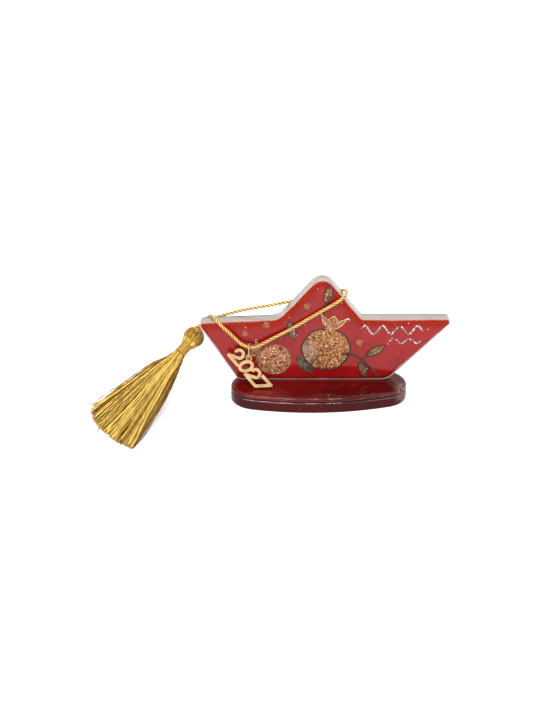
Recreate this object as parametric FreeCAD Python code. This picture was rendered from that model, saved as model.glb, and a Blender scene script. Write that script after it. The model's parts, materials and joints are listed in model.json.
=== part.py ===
"""Lucky-charm table ornament: an upright paper-boat plate of thick glass on an oval glass base.

The plate's front carries red enamel with raised fruit, leaves and a glitter flourish. A closed gold
cord hangs over the boat; a number charm hangs from it in front and a silk tassel at the left.
Millimetres, +X right, +Y back, +Z up. The origin is on the table, under the middle of the glass.
"""
import FreeCAD
import Part
import math
import os
from FreeCAD import Vector, Rotation, Placement

# ---- base: two fused oval slabs with a red layer between ----
BASE_LENGTH = 105.0
BASE_DEPTH = 42.0          # at the middle of the bowed long sides
BASE_END_RADIUS = 16.0
BASE_CENTRE_X = -3.0
BASE_YAW = 2.2             # degrees, left end nearer the front
SLAB_LOWER = 5.0
SLAB_RED = 0.6
SLAB_UPPER = 4.4
TOP_ROUND = 3.6            # fillet of the upper slab's rim
FOOT_ROUND = 1.8           # fillet of the lower slab's rim

# ---- boat plate: a paper-boat outline standing on edge ----
PLATE_FRONT = 1.8          # y of the enamelled face
PLATE_THICK = 8.0
ENAMEL_THICK = 0.5
ENAMEL_INSET = 0.5         # bare glass rim round the enamel
GLUE_THICK = 0.4
GLUE_INSET = 1.6
BOAT_HEIGHT = 69.2         # underside to the sharp peak
BOTTOM_LEFT_X = -51.0
BOTTOM_RIGHT_X = 38.2
TIP_LEFT = (-75.2, 37.6)   # x, and height over the plate's underside
TIP_RIGHT = (76.27, 39.9)
FOOT_LEFT = (-27.3, 39.6)
FOOT_RIGHT = (21.8, 39.8)
PEAK_X = -1.4
TIP_RADIUS = 2.2
BOTTOM_LEFT_RADIUS = 4.0
BOTTOM_RIGHT_RADIUS = 9.0
FOOT_LEFT_RADIUS = 9.0
FOOT_RIGHT_RADIUS = 3.5
PEAK_RADIUS = 8.0
EDGE_SOFTEN = 0.5          # small chamfer of the plate's rear rim

# ---- raised decoration on the enamel: x, and height over the plate's underside ----
RELIEF = 0.5
LINE_RELIEF = 0.7
LINE_WIDTH = 0.8
FRUIT_LARGE = (0.9, 20.6, 13.9)      # centre x, height, radius
FRUIT_SMALL = (-29.7, 13.5, 9.6)
CROWN_TILT_LARGE = 12.0    # degrees clockwise from upright
CROWN_TILT_SMALL = -60.0
CROWN_CLEARANCE = 0.05     # from the contour to the foot of its crown
FLAKE_SIZE = 3.2
FLAKES = ((-10.5, 48.0), (-34.4, 36.0), (-46.6, 30.2), (20.6, 24.5))

# ---- cord loop ----
CORD_DIAMETER = 2.0
KNOT = (-75.2, 15.6, 37.1)
KNOT_RADIUS = 2.4
CORD_ROUTE = [
    (-76.35, 15.8, 38.4),
    (-74.2, 15.8, 44.2),
    (-68.8, 13.4, 50.2),
    (-63.6, -0.8, 51.8),
    (-59.2, -3.0, 46.9),
    (-54.2, -2.0, 41.4),
    (-48.2, -1.6, 34.4),
    (-40.8, -1.6, 33.0),
    (-33.2, -1.4, 37.6),
    (-19.0, -1.1, 45.2),
    (-3.0, -1.0, 55.6),
    (12.8, -1.9, 66.6),
    (13.6, 12.6, 66.2),
    (3.0, 12.6, 61.6),
    (-16.0, 11.5, 58.4),
    (-32.0, 11.3, 54.9),
    (-47.0, 11.5, 52.2),
    (-58.6, 12.2, 48.6),
    (-67.2, 14.2, 44.6),
    (-73.9, 15.4, 38.25),
]
ARC_SHARE = 0.45           # share of the shorter run that an arc takes

# ---- jump ring and number charm ----
RING_WIRE = 0.9
RING_HEIGHT = 8.5          # wire centre to wire centre
RING_WIDTH = 5.2
RING_CLEARANCE = 0.35      # between the cord and the ring's wire
RING_SEAT = (-44.5, -1.6, 33.7)    # centre of the cord under the ring
RING_TILT = 7.0            # degrees, lower end towards the front
CHARM_THICK = 1.2
CHARM_STROKE = 1.8
CHARM_HEIGHT = 9.2         # cap height of the numerals
CHARM_LEAN = 21.0          # degrees, lower end towards the front
CHARM_ANGLE = 50.0         # degrees that the row of numerals runs downhill
TWO_BOWL_RADIUS = 2.45
TWO_BOWL_SHIFT = 4.4
TWO_BOWL_END = -35.0       # degrees, where the bowl runs into the diagonal
FIRST_TWO_WIDTH = 9.3
ZERO_MIDDLE = (12.5, 4.3)  # along the row of numerals, and above its foot line
ZERO_LONG = 4.7
ZERO_SHORT = 3.5
ZERO_LEAN = 66.0
SECOND_TWO_START = 15.0
SECOND_TWO_WIDTH = 10.0
ONE_SLANT = 5.6
ONE_FLAG = 8.0
EYE_HOLE = 2.1
EYE_RIM = 0.8
EYE_PLACE = (9.9, 8.7)      # puts the charm's middle of mass under its eye, so that it hangs as it is drawn

# ---- tassel ----
HEAD_RADIUS = 6.3
HEAD_WAY = (-2.6, 1.0, -5.6)         # direction from the knot to the head's centre
SOCKET_CLEARANCE = 0.35
NECK_CLEARANCE = 0.3
NECK_RADIUS = 3.65
NECK_LENGTH = 5.2
SKIRT_AZIMUTH = -129.5     # degrees from +X, the way the skirt points over the table
NECK_DROP = 26.0           # degrees below level
SKIRT_REACH = 71.5         # neck to the middle of the fringe
SKIRT_HALF_ANGLE = 20.0
SKIRT_TIP_HIGH = 7.5
SKIRT_TIP_LOW = 0.4
SKIRT_NEAR_LIFT = 4.5

PLATE_BACK = PLATE_FRONT + PLATE_THICK
GLASS_FRONT = PLATE_FRONT + ENAMEL_THICK
BASE_TOP = SLAB_LOWER + SLAB_RED + SLAB_UPPER
PLATE_FOOT = BASE_TOP + GLUE_THICK


def unit(vector):
    """Copy of a vector at length one."""
    copy = Vector(vector)
    copy.normalize()
    return copy


def save(name, shape):
    """Write one sub-part and print its volume."""
    os.makedirs("parts", exist_ok=True)
    shape.exportStep("parts/" + name + ".step")
    print(name, "solids", len(shape.Solids), "volume", round(shape.Volume, 2), "valid", shape.isValid())


def sphere(radius, centre, seam_up=False):
    """Sphere whose seam runs along its underside, or its top, clear of the cuts."""
    turn = Rotation(Vector(0, 1, 0), -90 if seam_up else 90)
    shape = Part.makeSphere(radius)
    shape.Placement = Placement(Vector(centre), turn)
    return shape


# ---------------------------------------------------------------- outlines

def rounded_polygon(corners, radii, inset=0.0):
    """Closed XZ wire at y = 0 whose corners carry tangent arcs; inset moves every side inwards."""
    points = [Vector(x, 0, z) for x, z in corners]
    count = len(points)
    if inset:
        points, radii = inset_corners(points, radii, inset)
    edges = []
    starts = []
    ends = []
    for i in range(count):
        before = unit(points[i - 1] - points[i])
        after = unit(points[(i + 1) % count] - points[i])
        half = before.getAngle(after) / 2
        reach = radii[i] / math.tan(half)
        centre = points[i] + unit(before + after) * (radii[i] / math.sin(half))
        middle = centre + unit(points[i] - centre) * radii[i]
        starts.append(points[i] + before * reach)
        ends.append(points[i] + after * reach)
        edges.append(Part.Arc(starts[i], middle, ends[i]).toShape())
    sides = [Part.LineSegment(ends[i], starts[(i + 1) % count]).toShape() for i in range(count)]
    ordered = [edge for pair in zip(edges, sides) for edge in pair]
    return Part.Wire(ordered)


def inset_corners(points, radii, inset):
    """Corners and corner radii of the outline moved inwards by inset."""
    count = len(points)
    area = sum(points[i - 1].x * points[i].z - points[i].x * points[i - 1].z for i in range(count))
    side = 1 if area > 0 else -1
    moved = []
    new_radii = []
    for i in range(count):
        arrive = unit(points[i] - points[i - 1])
        leave = unit(points[(i + 1) % count] - points[i])
        inward = side * unit(Vector(-arrive.z, 0, arrive.x) + Vector(-leave.z, 0, leave.x))
        share = inward.dot(side * Vector(-arrive.z, 0, arrive.x))
        moved.append(points[i] + inward * (inset / share))
        convex = side * (arrive.x * leave.z - arrive.z * leave.x) > 0
        new_radii.append(max(0.3, radii[i] - inset) if convex else radii[i] + inset)
    return moved, new_radii


def boat_outline():
    """Corners (x, z) of the paper boat, anticlockwise from the lower left, with their radii."""
    corners = [
        (BOTTOM_LEFT_X, PLATE_FOOT),
        (BOTTOM_RIGHT_X, PLATE_FOOT),
        (TIP_RIGHT[0], PLATE_FOOT + TIP_RIGHT[1]),
        (FOOT_RIGHT[0], PLATE_FOOT + FOOT_RIGHT[1]),
        (PEAK_X, PLATE_FOOT + BOAT_HEIGHT),
        (FOOT_LEFT[0], PLATE_FOOT + FOOT_LEFT[1]),
        (TIP_LEFT[0], PLATE_FOOT + TIP_LEFT[1]),
    ]
    radii = [
        BOTTOM_LEFT_RADIUS,
        BOTTOM_RIGHT_RADIUS,
        TIP_RADIUS,
        FOOT_RIGHT_RADIUS,
        PEAK_RADIUS,
        FOOT_LEFT_RADIUS,
        TIP_RADIUS,
    ]
    return corners, radii


def slab_between(wire, y_front, y_back):
    """Solid between two depths from an XZ wire drawn at y = 0."""
    face = Part.Face(wire)
    face.translate(Vector(0, y_front, 0))
    return face.extrude(Vector(0, y_back - y_front, 0))


def oval_wire(z):
    """Four tangent arcs: bowed long sides between round ends, turned by the yaw."""
    half = BASE_DEPTH / 2
    offset = BASE_LENGTH / 2 - BASE_END_RADIUS
    side = (offset**2 + half**2 - BASE_END_RADIUS**2) / (2 * (half - BASE_END_RADIUS))
    bow = math.atan2(offset, side - half)
    join_x = offset + BASE_END_RADIUS * math.sin(bow)
    join_y = BASE_END_RADIUS * math.cos(bow)
    end_x = BASE_LENGTH / 2
    arcs = [
        ((-join_x, -join_y), (0, -half), (join_x, -join_y)),
        ((join_x, -join_y), (end_x, 0), (join_x, join_y)),
        ((join_x, join_y), (0, half), (-join_x, join_y)),
        ((-join_x, join_y), (-end_x, 0), (-join_x, -join_y)),
    ]
    edges = [Part.Arc(*[Vector(x, y, 0) for x, y in arc]).toShape() for arc in arcs]
    wire = Part.Wire(edges)
    wire.Placement = Placement(Vector(BASE_CENTRE_X, 0, z), Rotation(Vector(0, 0, 1), BASE_YAW))
    return wire


# ---------------------------------------------------------------- glass

def oval_slab(z_low, thick, rounded_z=None, radius=0.0):
    """Oval slab; the rim at height rounded_z is filleted."""
    slab = Part.Face(oval_wire(z_low)).extrude(Vector(0, 0, thick))
    if rounded_z is None:
        return slab
    rim = [e for e in slab.Edges if all(abs(v.Z - rounded_z) < 1e-6 for v in e.Vertexes)]
    return slab.makeFillet(min(radius, thick - 0.5), rim)


def boat_plate():
    """Clear glass plate behind the enamel, with its rear rim softened."""
    corners, radii = boat_outline()
    plate = slab_between(rounded_polygon(corners, radii), GLASS_FRONT, PLATE_BACK)
    rear = [e for e in plate.Edges if all(abs(v.Y - PLATE_BACK) < 1e-6 for v in e.Vertexes)]
    return plate.makeChamfer(EDGE_SOFTEN, rear)


def boat_enamel():
    """Red enamel film on the front of the plate, a rim's width inside its edge."""
    corners, radii = boat_outline()
    return slab_between(rounded_polygon(corners, radii, ENAMEL_INSET), PLATE_FRONT, GLASS_FRONT)


def glue_line():
    """Clear adhesive between the base and the plate's straight underside."""
    left_flat = BOTTOM_LEFT_X + BOTTOM_LEFT_RADIUS + GLUE_INSET
    right_flat = BOTTOM_RIGHT_X - BOTTOM_RIGHT_RADIUS + GLUE_INSET
    depth = PLATE_THICK - EDGE_SOFTEN - 2 * GLUE_INSET + ENAMEL_THICK
    corner = Vector(left_flat, GLASS_FRONT + GLUE_INSET, BASE_TOP)
    return Part.makeBox(right_flat - left_flat, depth, GLUE_THICK, corner)


# ---------------------------------------------------------------- decoration

def on_face(shape):
    """Move a relief drawn from the plate's underside, at y = 0, onto the enamel."""
    shape.translate(Vector(0, PLATE_FRONT, PLATE_FOOT))
    return shape


def relief_from_wire(wire, thick):
    """Raised patch from an XZ wire."""
    return on_face(Part.Face(wire).extrude(Vector(0, -thick, 0)))


def curve_wire(points):
    """Closed smooth XZ wire through the points."""
    curve = Part.BSplineCurve()
    curve.interpolate([Vector(x, 0, z) for x, z in points], PeriodicFlag=True)
    return Part.Wire([curve.toShape()])


FRUIT_LOBES = 6


def fruit_reach(radius, angle):
    """Distance from a fruit's centre to its edge, a little less upwards than sideways."""
    lobe = 1.0 + 0.010 * math.cos(FRUIT_LOBES * angle)
    return radius * lobe * (1.0 - 0.06 * math.sin(angle) ** 2)


def fruit_body(fruit):
    """Slightly angular round fruit."""
    x, z, radius = fruit
    points = []
    for k in range(FRUIT_LOBES * 2):
        angle = math.pi * k / FRUIT_LOBES
        reach = fruit_reach(radius, angle)
        points.append((x + reach * math.cos(angle), z + reach * math.sin(angle)))
    return curve_wire(points)


def fruit(fruit_place):
    """Raised glitter disc of one fruit."""
    return relief_from_wire(fruit_body(fruit_place), RELIEF)


def crown(fruit_place, tilt):
    """Three pointed sepals over a fruit, just clear of its contour."""
    x, z, radius = fruit_place
    foot = fruit_reach(radius + LINE_WIDTH, math.radians(90.0 - tilt)) + CROWN_CLEARANCE
    wide = radius * 0.56
    tall = radius * 0.60
    half_neck = radius * 0.20
    outline = [
        (-half_neck, foot),
        (half_neck, foot),
        (wide * 0.72, foot + tall * 0.35),
        (wide, foot + tall * 0.95),
        (wide * 0.42, foot + tall * 0.58),
        (0.0, foot + tall * 1.0),
        (-wide * 0.42, foot + tall * 0.58),
        (-wide, foot + tall * 0.95),
        (-wide * 0.72, foot + tall * 0.35),
    ]
    turned = [turn_point(point, tilt) for point in outline]
    corners = [Vector(x + dx, 0, z + dz) for dx, dz in turned]
    wire = Part.makePolygon(corners + corners[:1])
    return relief_from_wire(wire, RELIEF)


def turn_point(point, degrees):
    """Turn an (x, z) point about the origin, clockwise for positive degrees."""
    angle = math.radians(degrees)
    x, z = point
    return x * math.cos(angle) + z * math.sin(angle), z * math.cos(angle) - x * math.sin(angle)


def fruit_contour(fruit_place):
    """Dark painted line round a fruit, standing on the enamel."""
    x, z, radius = fruit_place
    inner = fruit_body(fruit_place)
    outer = fruit_body((x, z, radius + LINE_WIDTH))
    ring = Part.Face(outer).extrude(Vector(0, -LINE_RELIEF, 0))
    hole = Part.Face(inner).extrude(Vector(0, -LINE_RELIEF, 0))
    return on_face(ring.cut(hole))


def leaf(base, tip, width, bend=0.0):
    """Pointed leaf between two (x, z) points; bend moves its belly sideways."""
    start = Vector(base[0], 0, base[1])
    end = Vector(tip[0], 0, tip[1])
    along = unit(end - start)
    across = Vector(-along.z, 0, along.x)
    middle = (start + end) * 0.5
    one = Part.Arc(start, middle + across * (width / 2 + bend), end).toShape()
    two = Part.Arc(end, middle - across * (width / 2 - bend), start).toShape()
    return relief_from_wire(Part.Wire([one, two]), RELIEF)


def dark_leaf(fruit_place):
    """Leaf that lies against the lower left of a fruit's contour and stops at it."""
    x, z, radius = fruit_place
    shape = leaf((x - radius * 1.25, z - radius * 0.36), (x - radius * 0.55, z - radius * 1.16), 7.0)
    outer = Part.Face(fruit_body((x, z, radius + LINE_WIDTH))).extrude(Vector(0, -LINE_RELIEF, 0))
    return shape.cut(on_face(outer))


def painted_line(points, width):
    """Painted stroke along (x, z) points: discs at the points and bars between them."""
    pieces = []
    for x, z in points:
        pieces.append(Part.makeCylinder(width / 2, LINE_RELIEF, Vector(x, 0, z), Vector(0, -1, 0)))
    for (x1, z1), (x2, z2) in zip(points, points[1:]):
        pieces.append(bar(x1, z1, x2, z2, width, LINE_RELIEF))
    stroke = pieces[0].multiFuse(pieces[1:])
    return on_face(stroke.removeSplitter())


def bar(x1, z1, x2, z2, width, thick):
    """Straight bar between two points of the face."""
    start = Vector(x1, 0, z1)
    end = Vector(x2, 0, z2)
    along = unit(end - start)
    across = Vector(-along.z, 0, along.x) * (width / 2)
    corners = [start + across, end + across, end - across, start - across]
    return Part.Face(Part.makePolygon(corners + corners[:1])).extrude(Vector(0, -thick, 0))


def wave_points(x_start, x_end, z_mid, swing, waves):
    """Points of a sine wave, eight to each wave."""
    steps = int(waves * 8)
    span = x_end - x_start
    return [
        (x_start + span * k / steps, z_mid + swing * math.sin(2 * math.pi * waves * k / steps))
        for k in range(steps + 1)
    ]


def flake(place):
    """Small square leaf-metal flake, set on its corner a little askew."""
    x, z = place
    half = FLAKE_SIZE / 2
    corners = [turn_point(c, 20.0) for c in ((-half, -half), (half, -half), (half, half), (-half, half))]
    points = [Vector(x + dx, 0, z + dz) for dx, dz in corners]
    return relief_from_wire(Part.makePolygon(points + points[:1]), RELIEF / 2)


def decorate():
    """Write every raised piece of the painted face."""
    save("pomegranate_large", fruit(FRUIT_LARGE))
    save("pomegranate_small", fruit(FRUIT_SMALL))
    save("crown_large", crown(FRUIT_LARGE, CROWN_TILT_LARGE))
    save("crown_small", crown(FRUIT_SMALL, CROWN_TILT_SMALL))
    save("contour_large", fruit_contour(FRUIT_LARGE))
    save("contour_small", fruit_contour(FRUIT_SMALL))
    x, z, radius = FRUIT_LARGE
    right = x + radius + LINE_WIDTH
    save("leaf_top", leaf((0.4, 50.2), (2.8, 61.2), 4.8))
    save("leaf_left", leaf((-20.9, 38.6), (-17.9, 27.0), 4.6))
    save("leaf_dark", dark_leaf(FRUIT_LARGE))
    save("leaf_right_upper", leaf((right + 8.8, z - 4.6), (right + 20.4, z + 2.2), 4.6))
    save("leaf_right_lower", leaf((right + 5.3, z - 8.8), (right + 9.6, z - 18.4), 4.0))
    stem = [(right + 0.6, z - 3.2), (right + 4.5, z - 5.2), (right + 8.2, z - 8.7)]
    stem += [(right + 13.7, z - 14.7), (right + 16.6, z - 18.6)]
    save("stem_right", painted_line(stem, LINE_WIDTH))
    save("stem_top", painted_line([(-0.7, 43.2), (-0.5, 46.0), (0.3, 49.4)], LINE_WIDTH))
    save("flourish_upper", painted_line(wave_points(21.0, 57.0, 33.0, 2.8, 3.5), LINE_WIDTH * 1.6))
    save("flourish_lower", painted_line(wave_points(38.5, 56.5, 25.8, 1.5, 2.0), LINE_WIDTH * 1.6))
    for index, place in enumerate(FLAKES):
        save("flake_%d" % (index + 1), flake(place))


# ---------------------------------------------------------------- cord

def arc_path(points):
    """Straight runs joined by tangent arcs, as one wire; prints each arc's radius."""
    corners = [Vector(*p) for p in points]
    edges = []
    radii = []
    last = corners[0]
    for i in range(1, len(corners) - 1):
        arrive = corners[i] - corners[i - 1]
        leave = corners[i + 1] - corners[i]
        reach = ARC_SHARE * min(arrive.Length, leave.Length)
        arrive = unit(arrive)
        leave = unit(leave)
        radius = reach / math.tan(arrive.getAngle(leave) / 2)
        start = corners[i] - arrive * reach
        end = corners[i] + leave * reach
        depth = math.hypot(radius, reach) - radius
        middle = corners[i] + unit(leave - arrive) * depth
        edges.append(Part.LineSegment(last, start).toShape())
        edges.append(Part.Arc(start, middle, end).toShape())
        radii.append(round(radius, 1))
        last = end
    edges.append(Part.LineSegment(last, corners[-1]).toShape())
    print("cord radii", radii)
    return Part.Wire(edges)


def cord_tube():
    """Plain tube of the whole loop, from the knot round the boat and back to the knot."""
    path = arc_path(CORD_ROUTE)
    start = Vector(*CORD_ROUTE[0])
    along = Vector(*CORD_ROUTE[1]) - start
    section = Part.Wire([Part.Circle(start, along, CORD_DIAMETER / 2).toShape()])
    sweep = Part.BRepOffsetAPI.MakePipeShell(path)
    sweep.setFrenetMode(False)
    sweep.add(section, False, False)
    sweep.build()
    sweep.makeSolid()
    tube = sweep.shape()
    expected = math.pi * (CORD_DIAMETER / 2) ** 2 * path.Length
    print("cord length", round(path.Length, 2), "volume over section x length", round(tube.Volume / expected, 4))
    return tube


def cord_knot(tube):
    """Round knot that the cord's two ends go into."""
    return sphere(KNOT_RADIUS, Vector(*KNOT)).cut(tube)


# ---------------------------------------------------------------- ring and charm

def ring_frame():
    """Placement whose local origin is the ring's top, local -Z down the ring, local X its normal."""
    rise = CORD_DIAMETER / 2 + RING_CLEARANCE + RING_WIRE / 2
    return Placement(Vector(*RING_SEAT) + Vector(0, 0, rise), Rotation(Vector(1, 0, 0), -RING_TILT))


def jump_ring():
    """Oval of round wire standing across the cord: two half circles joined by straight legs."""
    half = RING_WIDTH / 2
    low = half - RING_HEIGHT
    top = Part.Arc(Vector(0, half, -half), Vector(0, 0, 0), Vector(0, -half, -half))
    bottom = Part.Arc(Vector(0, -half, low), Vector(0, 0, -RING_HEIGHT), Vector(0, half, low))
    edges = [
        Part.LineSegment(Vector(0, half, low), Vector(0, half, -half)).toShape(),
        top.toShape(),
        Part.LineSegment(Vector(0, -half, -half), Vector(0, -half, low)).toShape(),
        bottom.toShape(),
    ]
    pieces = []
    for edge in edges:
        section = Part.Circle(edge.Vertexes[0].Point, edge.tangentAt(edge.FirstParameter), RING_WIRE / 2)
        sweep = Part.BRepOffsetAPI.MakePipeShell(Part.Wire([edge]))
        sweep.add(Part.Wire([section.toShape()]), False, False)
        sweep.build()
        sweep.makeSolid()
        pieces.append(sweep.shape())
    ring = pieces[0].multiFuse(pieces[1:])
    ring = ring.removeSplitter()
    ring.Placement = ring_frame().multiply(ring.Placement)
    return ring


def ring_bottom():
    """Centre of the wire at the ring's lowest point."""
    return ring_frame().multVec(Vector(0, 0, -RING_HEIGHT))


def plate_patch(corners):
    """Prism of the charm's thickness from local (s, h) corners."""
    points = [Vector(s, 0, h) for s, h in corners]
    return Part.Face(Part.makePolygon(points + points[:1])).extrude(Vector(0, CHARM_THICK, 0))


def stroke_bar(start, end):
    """Straight stroke of a numeral with square ends."""
    a = Vector(start[0], 0, start[1])
    b = Vector(end[0], 0, end[1])
    along = unit(b - a)
    across = Vector(-along.z, 0, along.x) * (CHARM_STROKE / 2)
    corners = [a + across, b + across, b - across, a - across]
    return plate_patch([(c.x, c.z) for c in corners])


def stroke_arc(centre, radius, start_degrees, end_degrees):
    """Curved stroke: a sector of a flat ring."""
    cx, ch = centre
    turn = end_degrees - start_degrees
    inner = radius - CHARM_STROKE / 2
    outer = radius + CHARM_STROKE / 2
    rim = []
    for reach in (outer, inner):
        ends = []
        for share in (0.0, 0.5, 1.0):
            angle = math.radians(start_degrees + turn * share)
            ends.append(Vector(cx + reach * math.cos(angle), 0, ch + reach * math.sin(angle)))
        rim.append(ends)
    edges = [
        Part.Arc(*rim[0]).toShape(),
        Part.LineSegment(rim[0][2], rim[1][2]).toShape(),
        Part.Arc(*rim[1][::-1]).toShape(),
        Part.LineSegment(rim[1][0], rim[0][0]).toShape(),
    ]
    return Part.Face(Part.Wire(edges)).extrude(Vector(0, CHARM_THICK, 0))


def numeral_two(s, width):
    """Strokes of a 2: bowl, diagonal and foot bar of the given width."""
    half = CHARM_STROKE / 2
    bowl = (s + TWO_BOWL_SHIFT, CHARM_HEIGHT - half - TWO_BOWL_RADIUS)
    bend = math.radians(TWO_BOWL_END)
    leave = (bowl[0] + TWO_BOWL_RADIUS * math.cos(bend), bowl[1] + TWO_BOWL_RADIUS * math.sin(bend))
    return [
        stroke_arc(bowl, TWO_BOWL_RADIUS, TWO_BOWL_END, 200),
        stroke_bar(leave, (s + half, half)),
        stroke_bar((s, half), (s + width, half)),
        disc(leave),
        disc((s + half, half)),
    ]


def disc(place):
    """Round joint between two strokes."""
    return Part.makeCylinder(CHARM_STROKE / 2, CHARM_THICK, Vector(place[0], 0, place[1]), Vector(0, 1, 0))


def numeral_zero(middle):
    """Leaning oval ring of a 0 about its middle (s, h)."""
    lean = math.radians(ZERO_LEAN)
    along = Vector(math.cos(lean), 0, math.sin(lean))
    rings = []
    for long_half, short_half in ((ZERO_LONG, ZERO_SHORT), (ZERO_LONG - CHARM_STROKE, ZERO_SHORT - CHARM_STROKE)):
        centre = Vector(middle[0], 0, middle[1])
        oval = Part.Ellipse(centre + along * long_half, centre + Vector(along.z, 0, -along.x) * short_half, centre)
        rings.append(Part.Face(Part.Wire([oval.toShape()])).extrude(Vector(0, CHARM_THICK, 0)))
    return [rings[0].cut(rings[1])]


def numeral_one(s):
    """Strokes of a leaning 1 with a long level flag."""
    half = CHARM_STROKE / 2
    top = (s + ONE_SLANT, CHARM_HEIGHT - half)
    flag = (top[0] - ONE_FLAG, CHARM_HEIGHT - half - 0.3)
    return [stroke_bar((s, half), top), stroke_bar(top, flag), disc(top), disc((s, half))]


def number_charm():
    """Cast numerals in one piece, with a small eye for the ring."""
    pieces = numeral_two(0.0, FIRST_TWO_WIDTH) + numeral_zero(ZERO_MIDDLE)
    pieces += numeral_two(SECOND_TWO_START, SECOND_TWO_WIDTH)
    pieces += numeral_one(SECOND_TWO_START + SECOND_TWO_WIDTH)
    eye = Vector(EYE_PLACE[0], 0, EYE_PLACE[1])
    pieces.append(Part.makeCylinder(EYE_HOLE / 2 + EYE_RIM, CHARM_THICK, eye, Vector(0, 1, 0)))
    solid = pieces[0].multiFuse(pieces[1:])
    solid = solid.cut(Part.makeCylinder(EYE_HOLE / 2, CHARM_THICK * 3, eye - Vector(0, CHARM_THICK, 0), Vector(0, 1, 0)))
    solid = solid.removeSplitter()
    solid.translate(Vector(-eye.x, -CHARM_THICK / 2, -eye.z))
    turn = Rotation(Vector(1, 0, 0), -CHARM_LEAN).multiply(Rotation(Vector(0, 1, 0), CHARM_ANGLE))
    solid.Placement = Placement(ring_bottom(), turn).multiply(solid.Placement)
    return solid


# ---------------------------------------------------------------- tassel

def skirt_axis():
    """Level direction that the skirt points in."""
    angle = math.radians(SKIRT_AZIMUTH)
    return Vector(math.cos(angle), math.sin(angle), 0)


def neck_axis():
    """Direction of the neck, from the head's centre."""
    drop = math.radians(NECK_DROP)
    return skirt_axis() * math.cos(drop) - Vector(0, 0, math.sin(drop))


def head_centre():
    """Middle of the head; the knot sits on its surface."""
    return Vector(*KNOT) + unit(Vector(*HEAD_WAY)) * HEAD_RADIUS


def tassel_head():
    """Round thread-bound head with a socket for the knot."""
    head = sphere(HEAD_RADIUS, head_centre())
    return head.cut(sphere(KNOT_RADIUS + SOCKET_CLEARANCE, Vector(*KNOT), seam_up=True))


def tassel_neck():
    """Tight band under the head, hollowed to turn round the head's ball."""
    centre = head_centre()
    band = Part.makeCylinder(NECK_RADIUS, HEAD_RADIUS + NECK_LENGTH, centre, neck_axis())
    return band.cut(Part.makeSphere(HEAD_RADIUS + NECK_CLEARANCE, centre))


def tassel_skirt():
    """Fan of threads as a closed solid: a plan fan cut to a drooping side profile."""
    start = head_centre() + neck_axis() * (HEAD_RADIUS + NECK_LENGTH)
    turn = Rotation(Vector(0, 0, 1), SKIRT_AZIMUTH)
    place = Placement(Vector(start.x, start.y, 0), turn)
    half = math.radians(SKIRT_HALF_ANGLE)
    neck = NECK_RADIUS * 0.9
    side_x = SKIRT_REACH * math.cos(half) * 0.97
    side_y = neck + side_x * math.tan(half) * 0.93
    plan_edges = [
        Part.LineSegment(Vector(0, neck, 0), Vector(side_x, side_y, 0)).toShape(),
        Part.Arc(Vector(side_x, side_y, 0), Vector(SKIRT_REACH, 0, 0), Vector(side_x, -side_y, 0)).toShape(),
        Part.LineSegment(Vector(side_x, -side_y, 0), Vector(0, -neck, 0)).toShape(),
        Part.LineSegment(Vector(0, -neck, 0), Vector(0, neck, 0)).toShape(),
    ]
    plan = Part.Face(Part.Wire(plan_edges)).extrude(Vector(0, 0, start.z + 2 * NECK_RADIUS))
    far = SKIRT_REACH + 1
    mid = SKIRT_REACH * 0.5
    mid_z = start.z * 0.36
    top_start = Vector(0, 0, start.z + neck)
    low_start = Vector(0, 0, start.z - neck)
    profile_edges = [
        Part.Arc(top_start, Vector(mid, 0, mid_z + SKIRT_NEAR_LIFT), Vector(far, 0, SKIRT_TIP_HIGH * 0.55)).toShape(),
        Part.LineSegment(Vector(far, 0, SKIRT_TIP_HIGH * 0.55), Vector(far, 0, SKIRT_TIP_LOW)).toShape(),
        Part.Arc(Vector(far, 0, SKIRT_TIP_LOW), Vector(mid, 0, mid_z - SKIRT_NEAR_LIFT), low_start).toShape(),
        Part.LineSegment(low_start, top_start).toShape(),
    ]
    profile = Part.Face(Part.Wire(profile_edges))
    profile.translate(Vector(0, -SKIRT_REACH, 0))
    skirt = plan.common(profile.extrude(Vector(0, 2 * SKIRT_REACH, 0)))
    skirt.Placement = place.multiply(skirt.Placement)
    return skirt.cut(tassel_neck())


# ---------------------------------------------------------------- build

def build():
    red_low = SLAB_LOWER
    red_high = SLAB_LOWER + SLAB_RED
    save("base_lower_glass", oval_slab(0.0, SLAB_LOWER, 0.0, FOOT_ROUND))
    save("base_red_layer", oval_slab(red_low, SLAB_RED))
    save("base_upper_glass", oval_slab(red_high, SLAB_UPPER, BASE_TOP, TOP_ROUND))
    save("glue_line", glue_line())
    save("boat_plate", boat_plate())
    save("boat_enamel", boat_enamel())
    decorate()
    tube = cord_tube()
    save("cord_loop", tube)
    save("cord_knot", cord_knot(tube))
    save("jump_ring", jump_ring())
    save("number_charm", number_charm())
    save("tassel_head", tassel_head())
    save("tassel_neck", tassel_neck())
    save("tassel_skirt", tassel_skirt())
    print("ring bottom", ring_bottom(), "head centre", head_centre())


build()
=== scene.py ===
import json
import math

import bpy
import numpy as np
from bpy.props import FloatProperty, FloatVectorProperty, IntProperty, PointerProperty
from bpy.types import Operator, Panel, PropertyGroup
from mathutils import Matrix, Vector
from mathutils.geometry import convex_hull_2d, delaunay_2d_cdt
from mathutils.kdtree import KDTree


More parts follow.
